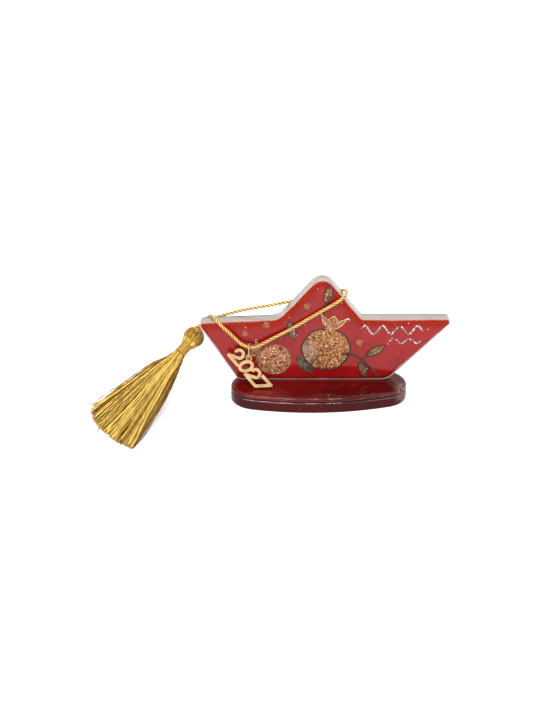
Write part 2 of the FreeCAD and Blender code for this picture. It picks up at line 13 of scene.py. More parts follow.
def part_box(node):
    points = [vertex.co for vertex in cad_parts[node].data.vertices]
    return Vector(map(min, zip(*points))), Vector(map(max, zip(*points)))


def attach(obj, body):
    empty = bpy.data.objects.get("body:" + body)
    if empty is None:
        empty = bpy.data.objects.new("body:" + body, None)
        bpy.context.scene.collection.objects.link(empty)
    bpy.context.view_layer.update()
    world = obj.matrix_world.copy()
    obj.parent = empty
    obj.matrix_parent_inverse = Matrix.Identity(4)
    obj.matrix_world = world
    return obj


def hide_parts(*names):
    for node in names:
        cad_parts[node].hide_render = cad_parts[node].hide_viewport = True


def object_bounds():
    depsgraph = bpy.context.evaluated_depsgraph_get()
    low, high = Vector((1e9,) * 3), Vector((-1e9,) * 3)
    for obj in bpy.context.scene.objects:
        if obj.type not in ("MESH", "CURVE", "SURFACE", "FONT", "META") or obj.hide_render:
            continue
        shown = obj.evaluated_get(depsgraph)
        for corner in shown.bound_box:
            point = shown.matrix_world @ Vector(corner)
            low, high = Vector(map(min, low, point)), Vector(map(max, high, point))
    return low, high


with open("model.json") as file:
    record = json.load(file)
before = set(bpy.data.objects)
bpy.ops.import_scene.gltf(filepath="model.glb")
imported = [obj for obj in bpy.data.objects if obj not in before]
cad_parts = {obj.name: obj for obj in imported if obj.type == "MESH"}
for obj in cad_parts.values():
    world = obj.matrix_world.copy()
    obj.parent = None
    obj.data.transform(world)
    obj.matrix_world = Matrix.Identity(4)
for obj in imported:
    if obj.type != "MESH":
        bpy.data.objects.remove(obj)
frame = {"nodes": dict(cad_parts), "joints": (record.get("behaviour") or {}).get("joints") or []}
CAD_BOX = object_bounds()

bl_info = {
    "name": "Boat Lucky Charm",
    "version": (1, 0, 0),
    "blender": (4, 5, 0),
    "location": "View3D > Sidebar > Charm",
    "description": "Enamelled glass boat on a red glass base, with a gold cord, number charm and silk tassel",
    "category": "Add Mesh",
}

MM = 0.001

# Control points of the cord's centre line, from the knot over the plate and back.
CORD_ROUTE = [
    (-0.07635, 0.0158, 0.0384),
    (-0.0722, 0.0154, 0.0408),
    (-0.0674, 0.0130, 0.0490),
    (-0.0634, -0.0006, 0.0506),
    (-0.0592, -0.0020, 0.0463),
    (-0.0542, -0.0013, 0.0412),
    (-0.0482, -0.0016, 0.0344),
    (-0.0408, -0.0016, 0.0330),
    (-0.0332, -0.0009, 0.0376),
    (-0.0190, 0.0001, 0.0452),
    (-0.0030, 0.0003, 0.0556),
    (0.0121, -0.0013, 0.0659),
    (0.0128, 0.0124, 0.0655),
    (0.0030, 0.0126, 0.0616),
    (-0.0160, 0.0115, 0.0584),
    (-0.0320, 0.0113, 0.0549),
    (-0.0470, 0.0115, 0.0522),
    (-0.0586, 0.0122, 0.0486),
    (-0.0672, 0.0142, 0.0446),
    (-0.0739, 0.0154, 0.03825),
]


# ---------------------------------------------------------------- settings

def length(label, default, about):
    """A length that a user can change."""
    return FloatProperty(name=label, description=about, default=default, min=0.0, unit="LENGTH", precision=5)


def colour(label, default, about):
    """A colour that a user can change."""
    return FloatVectorProperty(
        name=label, description=about, default=default, size=3, min=0.0, max=1.0, subtype="COLOR",
    )


def degrees(label, degrees, about):
    """An angle that a user can change, given here in degrees."""
    return FloatProperty(name=label, description=about, default=math.radians(degrees), subtype="ANGLE")


def number(label, default, low, high, about):
    """A count that a user can change."""
    return IntProperty(name=label, description=about, default=default, min=low, max=high)


class CordSettings(PropertyGroup):
    """Sizes and colours of the twisted cord."""

    diameter: length("Diameter", 2.0 * MM, "Thickness of the cord over its plies")
    whole: length("Length", 225.0 * MM, "Length of the cord from its knot round and back to it")
    plies: number("Plies", 3, 2, 5, "Strands that are twisted together")
    lay: length("Lay", 7.2 * MM, "Length in which one ply goes once round")
    light: colour("Light", (0.90, 0.57, 0.15), "Gold of the yarns that face the light")
    # Dark is painted shade, laid into the grooves between the plies.
    dark: colour("Dark", (0.13, 0.045, 0.006), "Gold between the yarns")


class TasselSettings(PropertyGroup):
    """Sizes and colours of the silk tassel."""

    threads: number("Threads", 520, 20, 900, "Threads in the skirt")
    thread: length("Thread", 0.80 * MM, "Thickness of one skirt thread")
    fan: degrees("Fan", 21.5, "Half angle of the spread skirt")
    reach: length("Reach", 64.6 * MM, "From the binding to the middle tips, along the table")
    neck_drop: degrees("Neck drop", 26.0, "How far the neck points down")
    neck: length("Neck length", 8.0 * MM, "Length of the binding between the head and the skirt")
    neck_turns: number("Neck turns", 13, 3, 20, "Turns of the binding")
    head_yarns: number("Head yarns", 60, 12, 160, "Yarns drawn over the head")
    light: colour("Light", (0.99, 0.71, 0.17), "Silk in the light")
    # Dark is painted shade on low threads, in the grooves between clumps and between yarns, mixed with the threads' own
    # random tone.
    dark: colour("Dark", (0.19, 0.070, 0.002), "Silk in the folds")


class PaintSettings(PropertyGroup):
    """Colours and grain sizes of the painted front."""

    red: colour("Enamel", (0.262, 0.004, 0.004), "Red of the enamel")
    deep: colour("Deep enamel", (0.20, 0.002, 0.002), "Red where the enamel lies thick")
    fringe: colour("Fringe", (0.38, 0.020, 0.002), "Orange red along the top edges")
    fleck: colour("Flecks", (0.75, 0.30, 0.26), "Tiny pale flecks in the enamel")
    line: colour("Line", (0.018, 0.010, 0.009), "Dark painted line")
    grain: length("Grain", 0.78 * MM, "Size of one glitter grain")
    copper: colour("Copper", (0.285, 0.098, 0.026), "Copper glitter")
    pale: colour("Pale gold", (0.66, 0.38, 0.17), "Palest grains of the copper glitter")
    brown: colour("Brown", (0.060, 0.014, 0.004), "Darkest grains of the copper glitter")
    ash: colour("Ash", (0.30, 0.19, 0.145), "Greyer glitter at the left of the large fruit")


class GlassSettings(PropertyGroup):
    """Colours of the glass base and plate."""

    base: colour("Base", (0.112, 0.003, 0.003), "Red of the base")
    base_deep: colour("Base, deep", (0.058, 0.0018, 0.0018), "Darkest red of the base")
    rim: colour("Base rim", (0.042, 0.003, 0.003), "Second red of the lower slab")
    edge: colour("Plate edge", (0.315, 0.266, 0.230), "Pale grey of the plate's edges")
    seam: length("Seam", 7.0 * MM, "Height at which the seam between the fused slabs shows on the base's rim")
    bubbles: number("Bubbles", 110, 0, 400, "Small bubbles at the base's surface")


class MetalSettings(PropertyGroup):
    """Finish of the number charm and its ring."""

    gold: colour("Pale gold", (0.54, 0.365, 0.185), "Plating of the charm")
    soften: length("Soften", 0.16 * MM, "Rounding of the charm's cast edges")


class StudioSettings(PropertyGroup):
    """Camera, floor and lamps."""

    pitch: degrees("Pitch", 27.0, "How far the camera looks down")
    distance: length("Distance", 0.7938, "From the camera to the plate's front")
    aside: FloatProperty(
        name="Aside", description="Aim point beside the plate's middle", default=-0.0321, unit="LENGTH",
    )
    aim_height: length("Aim height", 0.0236, "Height of the point that the camera looks at")
    lens: FloatProperty(name="Lens", description="Focal length in millimetres", default=66.9, min=10.0)
    floor: colour("Floor", (0.86, 0.86, 0.86), "Pale floor")


SETTINGS = {
    "charm_cord": CordSettings,
    "charm_tassel": TasselSettings,
    "charm_paint": PaintSettings,
    "charm_glass": GlassSettings,
    "charm_metal": MetalSettings,
    "charm_studio": StudioSettings,
}


# ---------------------------------------------------------------- mesh helpers

class Shell:
    """Gathers vertices, faces and per-vertex values of one piece."""

    def __init__(self):
        self.points, self.faces, self.values, self.count = [], [], [], 0

    def add(self, points, faces, **values):
        """Takes in points, faces and values; a value is one number or one for each point."""
        self.faces += [tuple(self.count + k for k in face) for face in faces]
        self.points.append(np.asarray(points, float))
        self.values += [(name, self.count, np.broadcast_to(value, len(points))) for name, value in values.items()]
        self.count += len(points)

    def make(self, name, material, body, node=None, smooth=True):
        """The gathered piece as an object that rides on a body, in place of a CAD node if one is named."""
        mesh = bpy.data.meshes.new(name)
        mesh.from_pydata(np.concatenate(self.points).tolist(), [], self.faces)
        for label in sorted({value[0] for value in self.values}):
            whole = np.zeros(self.count, np.float32)
            for own, first, value in self.values:
                if own == label:
                    whole[first:first + len(value)] = value
            mesh.attributes.new(label, "FLOAT", "POINT").data.foreach_set("value", whole)
        mesh.polygons.foreach_set("use_smooth", [smooth] * len(mesh.polygons))
        mesh.materials.append(material)
        mesh.validate()
        piece = bpy.data.objects.new(name, mesh)
        bpy.context.scene.collection.objects.link(piece)
        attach(piece, body)
        if node:
            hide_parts(node)
        return piece


def unit(v):
    """Rows of v at length one."""
    v = np.asarray(v, float)
    return v / np.maximum(np.linalg.norm(v, axis=-1, keepdims=True), 1e-12)


def carried_frames(path):
    """Two cross directions at each point of a path, carried along it without a twist."""
    along = unit(np.gradient(path, axis=0))
    first = np.cross(along[0], (0.0, 0.0, 1.0))
    if np.linalg.norm(first) < 0.1:
        first = np.cross(along[0], (0.0, 1.0, 0.0))
    side = [unit(first)]
    for k in range(1, len(path)):
        kept = side[-1] - along[k] * np.dot(side[-1], along[k])
        side.append(unit(kept))
    side = np.array(side)
    return side, np.cross(along, side)


def ring_faces(rows, sides):
    """Faces of a closed tube of rows times sides points, with its two ends."""
    faces = []
    for row in range(rows - 1):
        a, b = row * sides, (row + 1) * sides
        for k in range(sides):
            n = (k + 1) % sides
            faces.append((a + k, a + n, b + n, b + k))
    faces.append(tuple(reversed(range(sides))))
    faces.append(tuple((rows - 1) * sides + k for k in range(sides)))
    return faces


def tube(path, radius, sides, flat=1.0, turn=0.0):
    """Points and faces of a tube; flat narrows one axis and turn rotates it along the way."""
    path = np.asarray(path, float)
    one, two = carried_frames(path)
    radius = np.broadcast_to(radius, len(path))[:, None, None]
    around = np.linspace(0, 2 * math.pi, sides, endpoint=False)
    spin = np.broadcast_to(turn, len(path))[:, None]
    x, y = np.cos(around)[None, :], flat * np.sin(around)[None, :]
    across = (x * np.cos(spin) - y * np.sin(spin))[:, :, None]
    up = (x * np.sin(spin) + y * np.cos(spin))[:, :, None]
    points = path[:, None, :] + radius * (one[:, None, :] * across + two[:, None, :] * up)
    return points.reshape(-1, 3), ring_faces(len(path), sides)


def travelled(path):
    """Distance along a path at each of its points."""
    steps = np.linalg.norm(np.diff(path, axis=0), axis=1)
    return np.concatenate([[0.0], np.cumsum(steps)])


def evenly(path, step, least=4):
    """The same open path with points a step apart."""
    way = travelled(path)
    count = max(least, int(round(way[-1] / step)))
    at = np.linspace(0, way[-1], count + 1)
    return np.stack([np.interp(at, way, column) for column in path.T], axis=1)


def add_yarn(shell, path, radius, sides, tone):
    """Adds a yarn along a path, with what its fibres need: the way along, the way round and a tone."""
    points, faces = tube(path, radius, sides)
    around = np.tile(np.arange(sides) / sides, len(path))
    shell.add(points, faces, way=np.repeat(travelled(path), sides), round=around, proud=tone)


def twisted_plies(shell, path, diameter, plies, lay):
    """Plies wound round a path as a rope."""
    one, two = carried_frames(path)
    way = travelled(path)
    ply_radius = diameter * 0.5 / (1.0 + 1.0 / math.sin(math.pi / plies)) * 1.03
    wound = diameter * 0.5 - ply_radius
    for ply in range(plies):
        angle = 2 * math.pi * (way / lay + ply / plies)
        centre = path + wound * (one * np.cos(angle)[:, None] + two * np.sin(angle)[:, None])
        points, faces = tube(centre, ply_radius, 9)
        # Points near the cord's middle, in the grooves between the plies, get a low tone: painted shade in the grooves.
        near = np.linalg.norm(points - np.repeat(path, 9, axis=0), axis=1) / (diameter * 0.5)
        shell.add(points, faces, way=np.repeat(way, 9), round=np.tile(np.arange(9) / 9.0, len(path)), proud=near)


# ---------------------------------------------------------------- painted patches

def front_loops(node):
    """Closed outlines (x, z) of a node's front face, and its front and back y."""
    mesh = frame["nodes"][node].data
    low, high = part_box(node)
    grain = 0.001 * MM
    place = [tuple(round(c / grain) for c in v.co) for v in mesh.vertices]
    seen = {}
    for face in mesh.polygons:
        if face.normal.y < -0.9 and face.center.y < low.y + 0.02 * MM:
            ring = [place[k] for k in face.vertices]
            for pair in zip(ring, ring[1:] + ring[:1]):
                seen[frozenset(pair)] = seen.get(frozenset(pair), 0) + 1
    links = {}
    for pair in (tuple(pair) for pair, count in seen.items() if count == 1):
        for here, there in (pair, pair[::-1]):
            links.setdefault(here, []).append(there)
    if not links:
        raise RuntimeError(f"{node} has no flat front")
    loops = []
    while links:
        start = here = next(iter(links))
        loop = [start]
        while links.get(here):
            there = links[here].pop()
            links[there].remove(here)
            if not links[here]:
                del links[here]
            here = there
            if here == start:
                break
            loop.append(here)
        links = {k: v for k, v in links.items() if v}
        if len(loop) > 2:
            loops.append(np.array([(x, z) for x, _, z in loop], float) * MM * 0.001)
    return loops, low.y, high.y


def even_loop(loop, step):
    """A closed outline with points a step apart."""
    return evenly(np.vstack([loop, loop[:1]]), step, 10)[:-1]


def standing(flat, y):
    """Flat points (x, z) stood up at a depth, or one depth each."""
    return np.stack([flat[:, 0], np.broadcast_to(y, len(flat)), flat[:, 1]], axis=1)


def double_area(loop):
    """Twice the area inside a closed outline, positive when it runs anticlockwise."""
    after = np.roll(loop, -1, axis=0)
    return np.sum(loop[:, 0] * after[:, 1] - after[:, 0] * loop[:, 1])


def inside(points, loops):
    """True for the points that lie inside the outlines and outside their holes."""
    crossings = np.zeros(len(points), int)
    for loop in loops:
        after = np.roll(loop, -1, axis=0)
        for (x1, z1), (x2, z2) in zip(loop, after):
            if z1 == z2:
                continue
            between = (points[:, 1] >= min(z1, z2)) & (points[:, 1] < max(z1, z2))
            at = x1 + (points[:, 1] - z1) * (x2 - x1) / (z2 - z1)
            crossings += between & (points[:, 0] < at)
    return crossings % 2 == 1


def outward(loop, others):
    """Directions that point away from the paint along an outline or a hole."""
    way = np.roll(loop, -1, axis=0) - np.roll(loop, 1, axis=0)
    normal = unit(np.stack([way[:, 1], -way[:, 0]], axis=1))
    hole = bool(others) and inside(loop[:1], others)[0]
    return normal * (1.0 if (double_area(loop) > 0) != hole else -1.0)


def ragged(loop, normal, amount, rng, out=0.0):
    """The outline drawn in by a little, unevenly, as a brush leaves it, and out by a share of that."""
    turn = np.linspace(0, 2 * math.pi, len(loop), endpoint=False)
    sway = np.zeros(len(loop))
    for waves in (3, 5, 9, 14, 23, 37):
        if waves * 3 < len(loop):
            sway += np.sin(turn * waves + rng.uniform(0, 2 * math.pi)) / math.sqrt(waves)
    sway = sway / max(np.abs(sway).max(), 1e-9)
    return loop - normal * (amount * (0.5 + 0.5 * sway - out))[:, None]


def brushed_loops(node, step, amount, rng, out=0.0):
    """A node's outlines, evenly spaced and slightly ragged."""
    loops, front, back = front_loops(node)
    loops = [even_loop(loop, step) for loop in loops]
    drawn = []
    for k, loop in enumerate(loops):
        drawn.append(ragged(loop, outward(loop, loops[:k] + loops[k + 1:]), amount, rng, out))
    return drawn, front, back


def tree_of(points):
    """Nearest-point search over flat points."""
    tree = KDTree(len(points))
    for k, (x, z) in enumerate(points):
        tree.insert((x, z, 0.0), k)
    tree.balance()
    return tree


def to_border(points, tree):
    """Distance of each flat point from the nearest border point."""
    return np.array([tree.find((x, z, 0.0))[2] for x, z in points])


def bead_height(distance, bead, wall, crest):
    """Height of paint that rises like a bead from its border."""
    share = np.clip(distance / bead, 0.0, 1.0)
    return wall + crest * np.sqrt(np.clip(1.0 - (1.0 - share) ** 2, 0.0, 1.0))


def paint_patch(shell, loops, back, step, bead, wall, crest, **more):
    """Closed layer of paint inside outlines, with a rounded rim, standing on y = back."""
    border = np.concatenate(loops)
    tree = tree_of(border)
    low, high = border.min(0), border.max(0)
    rows = np.arange(low[1], high[1], step * 0.866)
    columns = np.arange(low[0], high[0], step)
    grid = np.array([(x + (0.5 * step if k % 2 else 0.0), z) for k, z in enumerate(rows) for x in columns])
    grid = grid.reshape(-1, 2)
    if len(grid):
        grid = grid[inside(grid, loops)]
    if len(grid):
        grid = grid[to_border(grid, tree) > step * 0.55]
    edges, first = [], 0
    for loop in loops:
        edges += [(first + k, first + (k + 1) % len(loop)) for k in range(len(loop))]
        first += len(loop)
    scale = 1.0 / MM
    every = [Vector(p * scale) for p in np.concatenate([border, grid])]
    out = delaunay_2d_cdt(every, edges, [], 0, 1e-6)
    flat = np.array([(v.x, v.y) for v in out[0]]) / scale
    faces = [face for face in out[2] if len(face) == 3]
    kept = inside(np.array([flat[list(face)].mean(0) for face in faces]), loops)
    faces = [face for face, keep in zip(faces, kept) if keep]
    used = sorted({k for face in faces for k in face})
    order = {old: new for new, old in enumerate(used)}
    flat, count = flat[used], len(used)
    faces = [tuple(order[k] for k in face) for face in faces]
    distance = to_border(flat, tree)
    height = bead_height(distance, bead, wall, crest)
    sides = dict.fromkeys(pair for a, b, c in faces for pair in ((a, b), (b, c), (c, a)))
    made = faces + [(c + count, b + count, a + count) for a, b, c in faces]
    made += [(b, a, a + count, b + count) for a, b in sides if (b, a) not in sides]
    both = {name: np.tile(fn(flat), 2) for name, fn in more.items()}
    shell.add(np.concatenate([standing(flat, back - height), standing(flat, back)]), made, **both)


def glitter(shell, loops, back, bead, wall, crest, size, rng, tone, spread):
    """Grains of glitter strewn over a patch, each one a small tilted plate of about the same tone."""
    border = np.concatenate(loops)
    tree = tree_of(border)
    low, high = border.min(0), border.max(0)
    step, sides, thick = size * 0.74, 5, size * 0.16
    grid = np.array([(x, z) for z in np.arange(low[1], high[1], step) for x in np.arange(low[0], high[0], step)])
    grid = grid + rng.uniform(-0.42, 0.42, grid.shape) * step
    grid = grid[inside(grid, loops)]
    distance = to_border(grid, tree)
    grid, distance = grid[distance > size * 0.22], distance[distance > size * 0.22]
    faces = [tuple(range(sides)), tuple(reversed(range(sides, 2 * sides)))]
    faces += [(k, k + sides, (k + 1) % sides + sides, (k + 1) % sides) for k in range(sides)]
    for spot, rise in zip(grid, bead_height(distance, bead, wall, crest)):
        reach = size * rng.uniform(0.36, 0.66)
        start = rng.uniform(0, 2 * math.pi)
        around = start + np.arange(sides) * 2 * math.pi / sides + rng.uniform(-0.25, 0.25, sides)
        lean = rng.normal(0.0, 0.30, 2)
        flat = np.stack([np.cos(around), np.sin(around)], axis=1) * reach * rng.uniform(0.8, 1.15, (sides, 1))
        top = standing(spot + flat, back - rise - thick * 0.6 + flat @ lean)
        under = top + (0.0, thick + size * 0.12, 0.0)
        shell.add(np.concatenate([top, under]), faces, grain=float(np.clip(rng.normal(tone, spread), 0, 1)))


# ---------------------------------------------------------------- shader helpers

def feed(tree, socket, value):
    """Links a socket to another one, or sets its value."""
    if isinstance(value, bpy.types.NodeSocket):
        tree.links.new(value, socket)
    elif socket.type == "RGBA":
        socket.default_value = (*value, 1.0)
    else:
        socket.default_value = value


def put(tree, kind, inputs=None, **settings):
    """A node with its settings, its values and its links."""
    node = tree.nodes.new(kind)
    for name, value in settings.items():
        setattr(node, name, value)
    for name, value in (inputs or {}).items():
        feed(tree, node.inputs[name], value)
    return node


def blend_colours(tree, share, first, second):
    """First colour turning into the second as share goes from 0 to 1."""
    return put(tree, "ShaderNodeMix", {0: share, 6: first, 7: second}, data_type="RGBA").outputs[2]


def math_node(tree, operation, *values, clamp=False):
    """One step of arithmetic."""
    return put(tree, "ShaderNodeMath", dict(enumerate(values)), operation=operation, use_clamp=clamp).outputs[0]


def ranged(tree, value, low, high, to_low=0.0, to_high=1.0):
    """A value moved from one range to another, and held inside it."""
    inputs = {"Value": value, "From Min": low, "From Max": high, "To Min": to_low, "To Max": to_high}
    return put(tree, "ShaderNodeMapRange", inputs, interpolation_type="SMOOTHSTEP").outputs[0]


def object_place(tree):
    """Place on the piece, which rides with it."""
    return put(tree, "ShaderNodeTexCoord").outputs["Object"]


def stored(tree, name):
    """A value stored at the piece's points."""
    return put(tree, "ShaderNodeAttribute", attribute_name=name, attribute_type="GEOMETRY").outputs["Fac"]


def noise(tree, scale, detail, roughness=0.5):
    """Cloudy noise over the piece."""
    inputs = {"Vector": object_place(tree), "Scale": scale, "Detail": detail, "Roughness": roughness}
    return put(tree, "ShaderNodeTexNoise", inputs).outputs["Fac"]


def shared_group(name, inputs, outputs, fill):
    """A node group that is built once. An input is a colour if its default has three parts, else a number."""
    tree = bpy.data.node_groups.get(name)
    if tree:
        return tree
    tree = bpy.data.node_groups.new(name, "ShaderNodeTree")
    kinds = {True: "NodeSocketColor", False: "NodeSocketFloat"}
    for label, default in inputs.items():
        tinted = isinstance(default, tuple)
        socket = tree.interface.new_socket(label, in_out="INPUT", socket_type=kinds[tinted])
        socket.default_value = (*default, 1.0) if tinted else default
    for label in outputs:
        tree.interface.new_socket(label, in_out="OUTPUT", socket_type=kinds[label == "Color"])
    start, end = tree.nodes.new("NodeGroupInput"), tree.nodes.new("NodeGroupOutput")
    for label, socket in fill(tree, start.outputs).items():
        tree.links.new(socket, end.inputs[label])
    return tree


def use_group(tree, group, inputs):
    """A shared group placed in a material, with its own values."""
    return put(tree, "ShaderNodeGroup", inputs, node_tree=group).outputs


def uneven_colour():
    """Cloudy change between two colours, with a matching unevenness of gloss and height."""
    def fill(tree, given):
        broad = noise(tree, given["Scale"], 4.0, 0.55)
        fine = noise(tree, math_node(tree, "MULTIPLY", given["Scale"], 9.0), 3.0)
        change = math_node(tree, "MULTIPLY", given["Gloss change"], math_node(tree, "SUBTRACT", fine, 0.5))
        return {
            "Color": blend_colours(tree, ranged(tree, broad, 0.36, 0.64), given["First"], given["Second"]),
            "Roughness": math_node(tree, "ADD", given["Roughness"], change, clamp=True),
            "Height": broad,
        }
    inputs = {
        "First": (0.5, 0.5, 0.5), "Second": (0.4, 0.4, 0.4), "Scale": 40.0, "Roughness": 0.2, "Gloss change": 0.1,
    }
    return shared_group("Uneven colour", inputs, ("Color", "Roughness", "Height"), fill)


def tiny_flecks():
    """Scattered round flecks or bubbles as a mask."""
    def fill(tree, given):
        inputs = {"Vector": object_place(tree), "Scale": given["Scale"], "Randomness": 1.0}
        cells = put(tree, "ShaderNodeTexVoronoi", inputs).outputs
        chosen = put(tree, "ShaderNodeSeparateColor", {"Color": cells["Color"]}).outputs[0]
        picked = math_node(tree, "LESS_THAN", chosen, given["Share"])
        dot = ranged(tree, cells["Distance"], 0.10, 0.24, 1.0, 0.0)
        return {"Mask": math_node(tree, "MULTIPLY", dot, picked, clamp=True)}
    return shared_group("Tiny flecks", {"Scale": 700.0, "Share": 0.1}, ("Mask",), fill)


def glitter_colour():
    """Colour of each glitter grain, from dark through the main colour to pale."""
    def fill(tree, given):
        grain = stored(tree, "grain")
        lower = blend_colours(tree, ranged(tree, grain, 0.02, 0.30), given["Dark"], given["Main"])
        whole = blend_colours(tree, ranged(tree, grain, 0.45, 0.95), lower, given["Pale"])
        cloud = noise(tree, given["Spot scale"], 2.0)
        spot = math_node(tree, "MULTIPLY", ranged(tree, cloud, 0.56, 0.65), given["Spots"], clamp=True)
        return {
            "Color": blend_colours(tree, spot, whole, given["Dark"]),
            "Roughness": ranged(tree, grain, 0.0, 1.0, 0.42, 0.20),
        }
    inputs = {
        "Dark": (0.1, 0.05, 0.03), "Main": (0.6, 0.3, 0.1), "Pale": (0.9, 0.7, 0.5), "Spots": 0.8, "Spot scale": 240.0,
    }
    return shared_group("Glitter colour", inputs, ("Color", "Roughness"), fill)


def spun_yarn():
    """Fine fibres that wind round a yarn, with painted shade: darker where the stored tone is low, as in the folds and
    grooves.
    """
    def fill(tree, given):
        turns = math_node(tree, "MULTIPLY", stored(tree, "way"), given["Fibre turns"])
        phase = math_node(tree, "ADD", turns, math_node(tree, "MULTIPLY", stored(tree, "round"), 4.0))
        fibre = ranged(tree, math_node(tree, "SINE", math_node(tree, "MULTIPLY", phase, 2 * math.pi)), -1.0, 1.0)
        mixed = math_node(tree, "ADD", math_node(tree, "MULTIPLY", fibre, 0.5), noise(tree, 420.0, 2.0))
        # Painted shade: a low stored tone turns the yarn towards the dark colour.
        fold = ranged(tree, stored(tree, "proud"), given["Fold low"], given["Fold high"])
        share = math_node(tree, "MULTIPLY", fold, ranged(tree, mixed, 0.3, 1.1, 0.55, 1.0), clamp=True)
        return {"Color": blend_colours(tree, share, given["Dark"], given["Light"]), "Height": fibre}
    inputs = {
        "Light": (0.8, 0.6, 0.2), "Dark": (0.3, 0.2, 0.05), "Fibre turns": 700.0, "Fold low": 0.3, "Fold high": 0.85,
    }
    return shared_group("Spun yarn", inputs, ("Color", "Height"), fill)


def background_rays(tree):
    """1 for rays that show the background: seen directly, in a reflection or through glass."""
    rays = put(tree, "ShaderNodeLightPath").outputs
    bounced = math_node(tree, "ADD", rays["Is Glossy Ray"], rays["Is Transmission Ray"])
    return math_node(tree, "ADD", rays["Is Camera Ray"], bounced, clamp=True)


def coordinate(tree, vector, axis):
    """One coordinate of a vector."""
    return put(tree, "ShaderNodeSeparateXYZ", {0: vector}).outputs[axis]


def near_spot(tree, centre, radius, most):
    """A share that is highest at a spot on the piece and falls to nothing a radius away."""
    away = put(tree, "ShaderNodeVectorMath", {0: object_place(tree), 1: centre}, operation="DISTANCE").outputs["Value"]
    return ranged(tree, away, radius * 0.35, radius, most, 0.0)


def new_material(name, **constants):
    """A material with one Principled shader and its plain values set on it."""
    material = bpy.data.materials.new(name)
    material.use_nodes = True
    tree = material.node_tree
    shader = tree.nodes["Principled BSDF"]
    for label, value in constants.items():
        shader.inputs[label.replace("_", " ")].default_value = value
    return material, tree, shader


def bump(tree, shader, height, depth, strength=1.0):
    """Small height changes that tilt the surface's shading."""
    node = put(tree, "ShaderNodeBump", {"Height": height, "Distance": depth, "Strength": strength})
    tree.links.new(node.outputs["Normal"], shader.inputs["Normal"])


# ---------------------------------------------------------------- materials

def cloudy(name, first, second, scale, roughness, change, depth=None, strength=0.5, repaint=None, **constants):
    """A material of two cloudy colours, uneven in gloss and height; repaint(tree, shader, colour) may add to it."""
    material, tree, shader = new_material(name, **constants)
    inputs = {"First": first, "Second": second, "Scale": scale, "Roughness": roughness, "Gloss change": change}
    look = use_group(tree, uneven_colour(), inputs)
    tone = repaint(tree, shader, look["Color"]) if repaint else look["Color"]
    feed(tree, shader.inputs["Base Color"], tone)
    feed(tree, shader.inputs["Roughness"], look["Roughness"])
    if depth:
        bump(tree, shader, look["Height"], depth, strength)
    return material


def enamel_paint(paint):
    """Red enamel, worn to a grainy orange along the top edges."""
    def repaint(tree, shader, tone):
        worn = math_node(tree, "SUBTRACT", noise(tree, 420.0, 5.0, 0.75), 0.5)
        uneven = math_node(tree, "ADD", stored(tree, "top_rim"), math_node(tree, "MULTIPLY", worn, 7.0 * MM))
        fringe = ranged(tree, uneven, 2.0 * MM, 6.2 * MM, 1.0, 0.0)
        grit = ranged(tree, noise(tree, 1100.0, 3.0), 0.40, 0.68)
        granular = blend_colours(tree, grit, (0.165, 0.003, 0.001), paint.fringe)
        feed(tree, shader.inputs["Coat Weight"], ranged(tree, fringe, 0.0, 1.0, 0.46, 0.08))
        flecks = use_group(tree, tiny_flecks(), {"Scale": 430.0, "Share": 0.10})["Mask"]
        return blend_colours(tree, flecks, blend_colours(tree, fringe, tone, granular), paint.fleck)
    return cloudy(
        "Red enamel", paint.red, paint.deep, 38.0, 0.30, 0.16, 0.10 * MM, repaint=repaint,
        Metallic=0.10, Specular_IOR_Level=0.10, Coat_Roughness=0.03, IOR=1.5,
    )


def line_paint(name, first, second):
    """Paint of the brushed lines, made once for each name."""
    return bpy.data.materials.get(name) or cloudy(
        name, first, second, 420.0, 0.34, 0.2, 0.12 * MM, 0.6,
        Coat_Weight=0.3, Coat_Roughness=0.12, Specular_IOR_Level=0.15,
    )


def dark_line(paint):
    """Near-black paint of the contours, stems and leaf outlines."""
    return line_paint("Dark line paint", paint.line, (0.05, 0.03, 0.022))


def dark_leaf_paint():
    """Dark green paint, brown in places."""
    return cloudy(
        "Dark green leaf paint", (0.020, 0.028, 0.018), (0.120, 0.080, 0.055), 340.0, 0.32, 0.2, 0.12 * MM, 0.6,
        Coat_Weight=0.25, Coat_Roughness=0.10, Specular_IOR_Level=0.1,
    )


def leaf_metal():
    """Leaf metal that lies in the red glaze."""
    return cloudy(
        "Gold leaf flake", (0.27, 0.078, 0.013), (0.20, 0.036, 0.006), 420.0, 0.36, 0.3,
        Metallic=0.20, Coat_Weight=0.3, Coat_Roughness=0.06,
    )


def plated_gold(metal):
    """Satin pale gold plating of the charm and its ring."""
    return cloudy(
        "Pale gold plating", metal.gold, [c * 0.74 for c in metal.gold], 260.0, 0.60, 0.12, 0.05 * MM,
        Metallic=0.50, Specular_Tint=(1.0, 0.85, 0.6, 1.0),
    )


def glitter_paint(name, dark, main, pale, spots, spot_scale, metallic, patch=None):
    """Glitter of three tones, with an optional patch (colour, centre, radius) of a duller one."""
    material, tree, shader = new_material(name, Metallic=metallic, Coat_Weight=0.10, Coat_Roughness=0.10)
    inputs = {"Dark": dark, "Main": main, "Pale": pale, "Spots": spots, "Spot scale": spot_scale}
    look = use_group(tree, glitter_colour(), inputs)
    tone = look["Color"]
    if patch:
        shade, centre, radius = patch
        tone = blend_colours(tree, near_spot(tree, centre, radius, 0.62), tone, shade)
    feed(tree, shader.inputs["Base Color"], tone)
    feed(tree, shader.inputs["Roughness"], look["Roughness"])
    return material


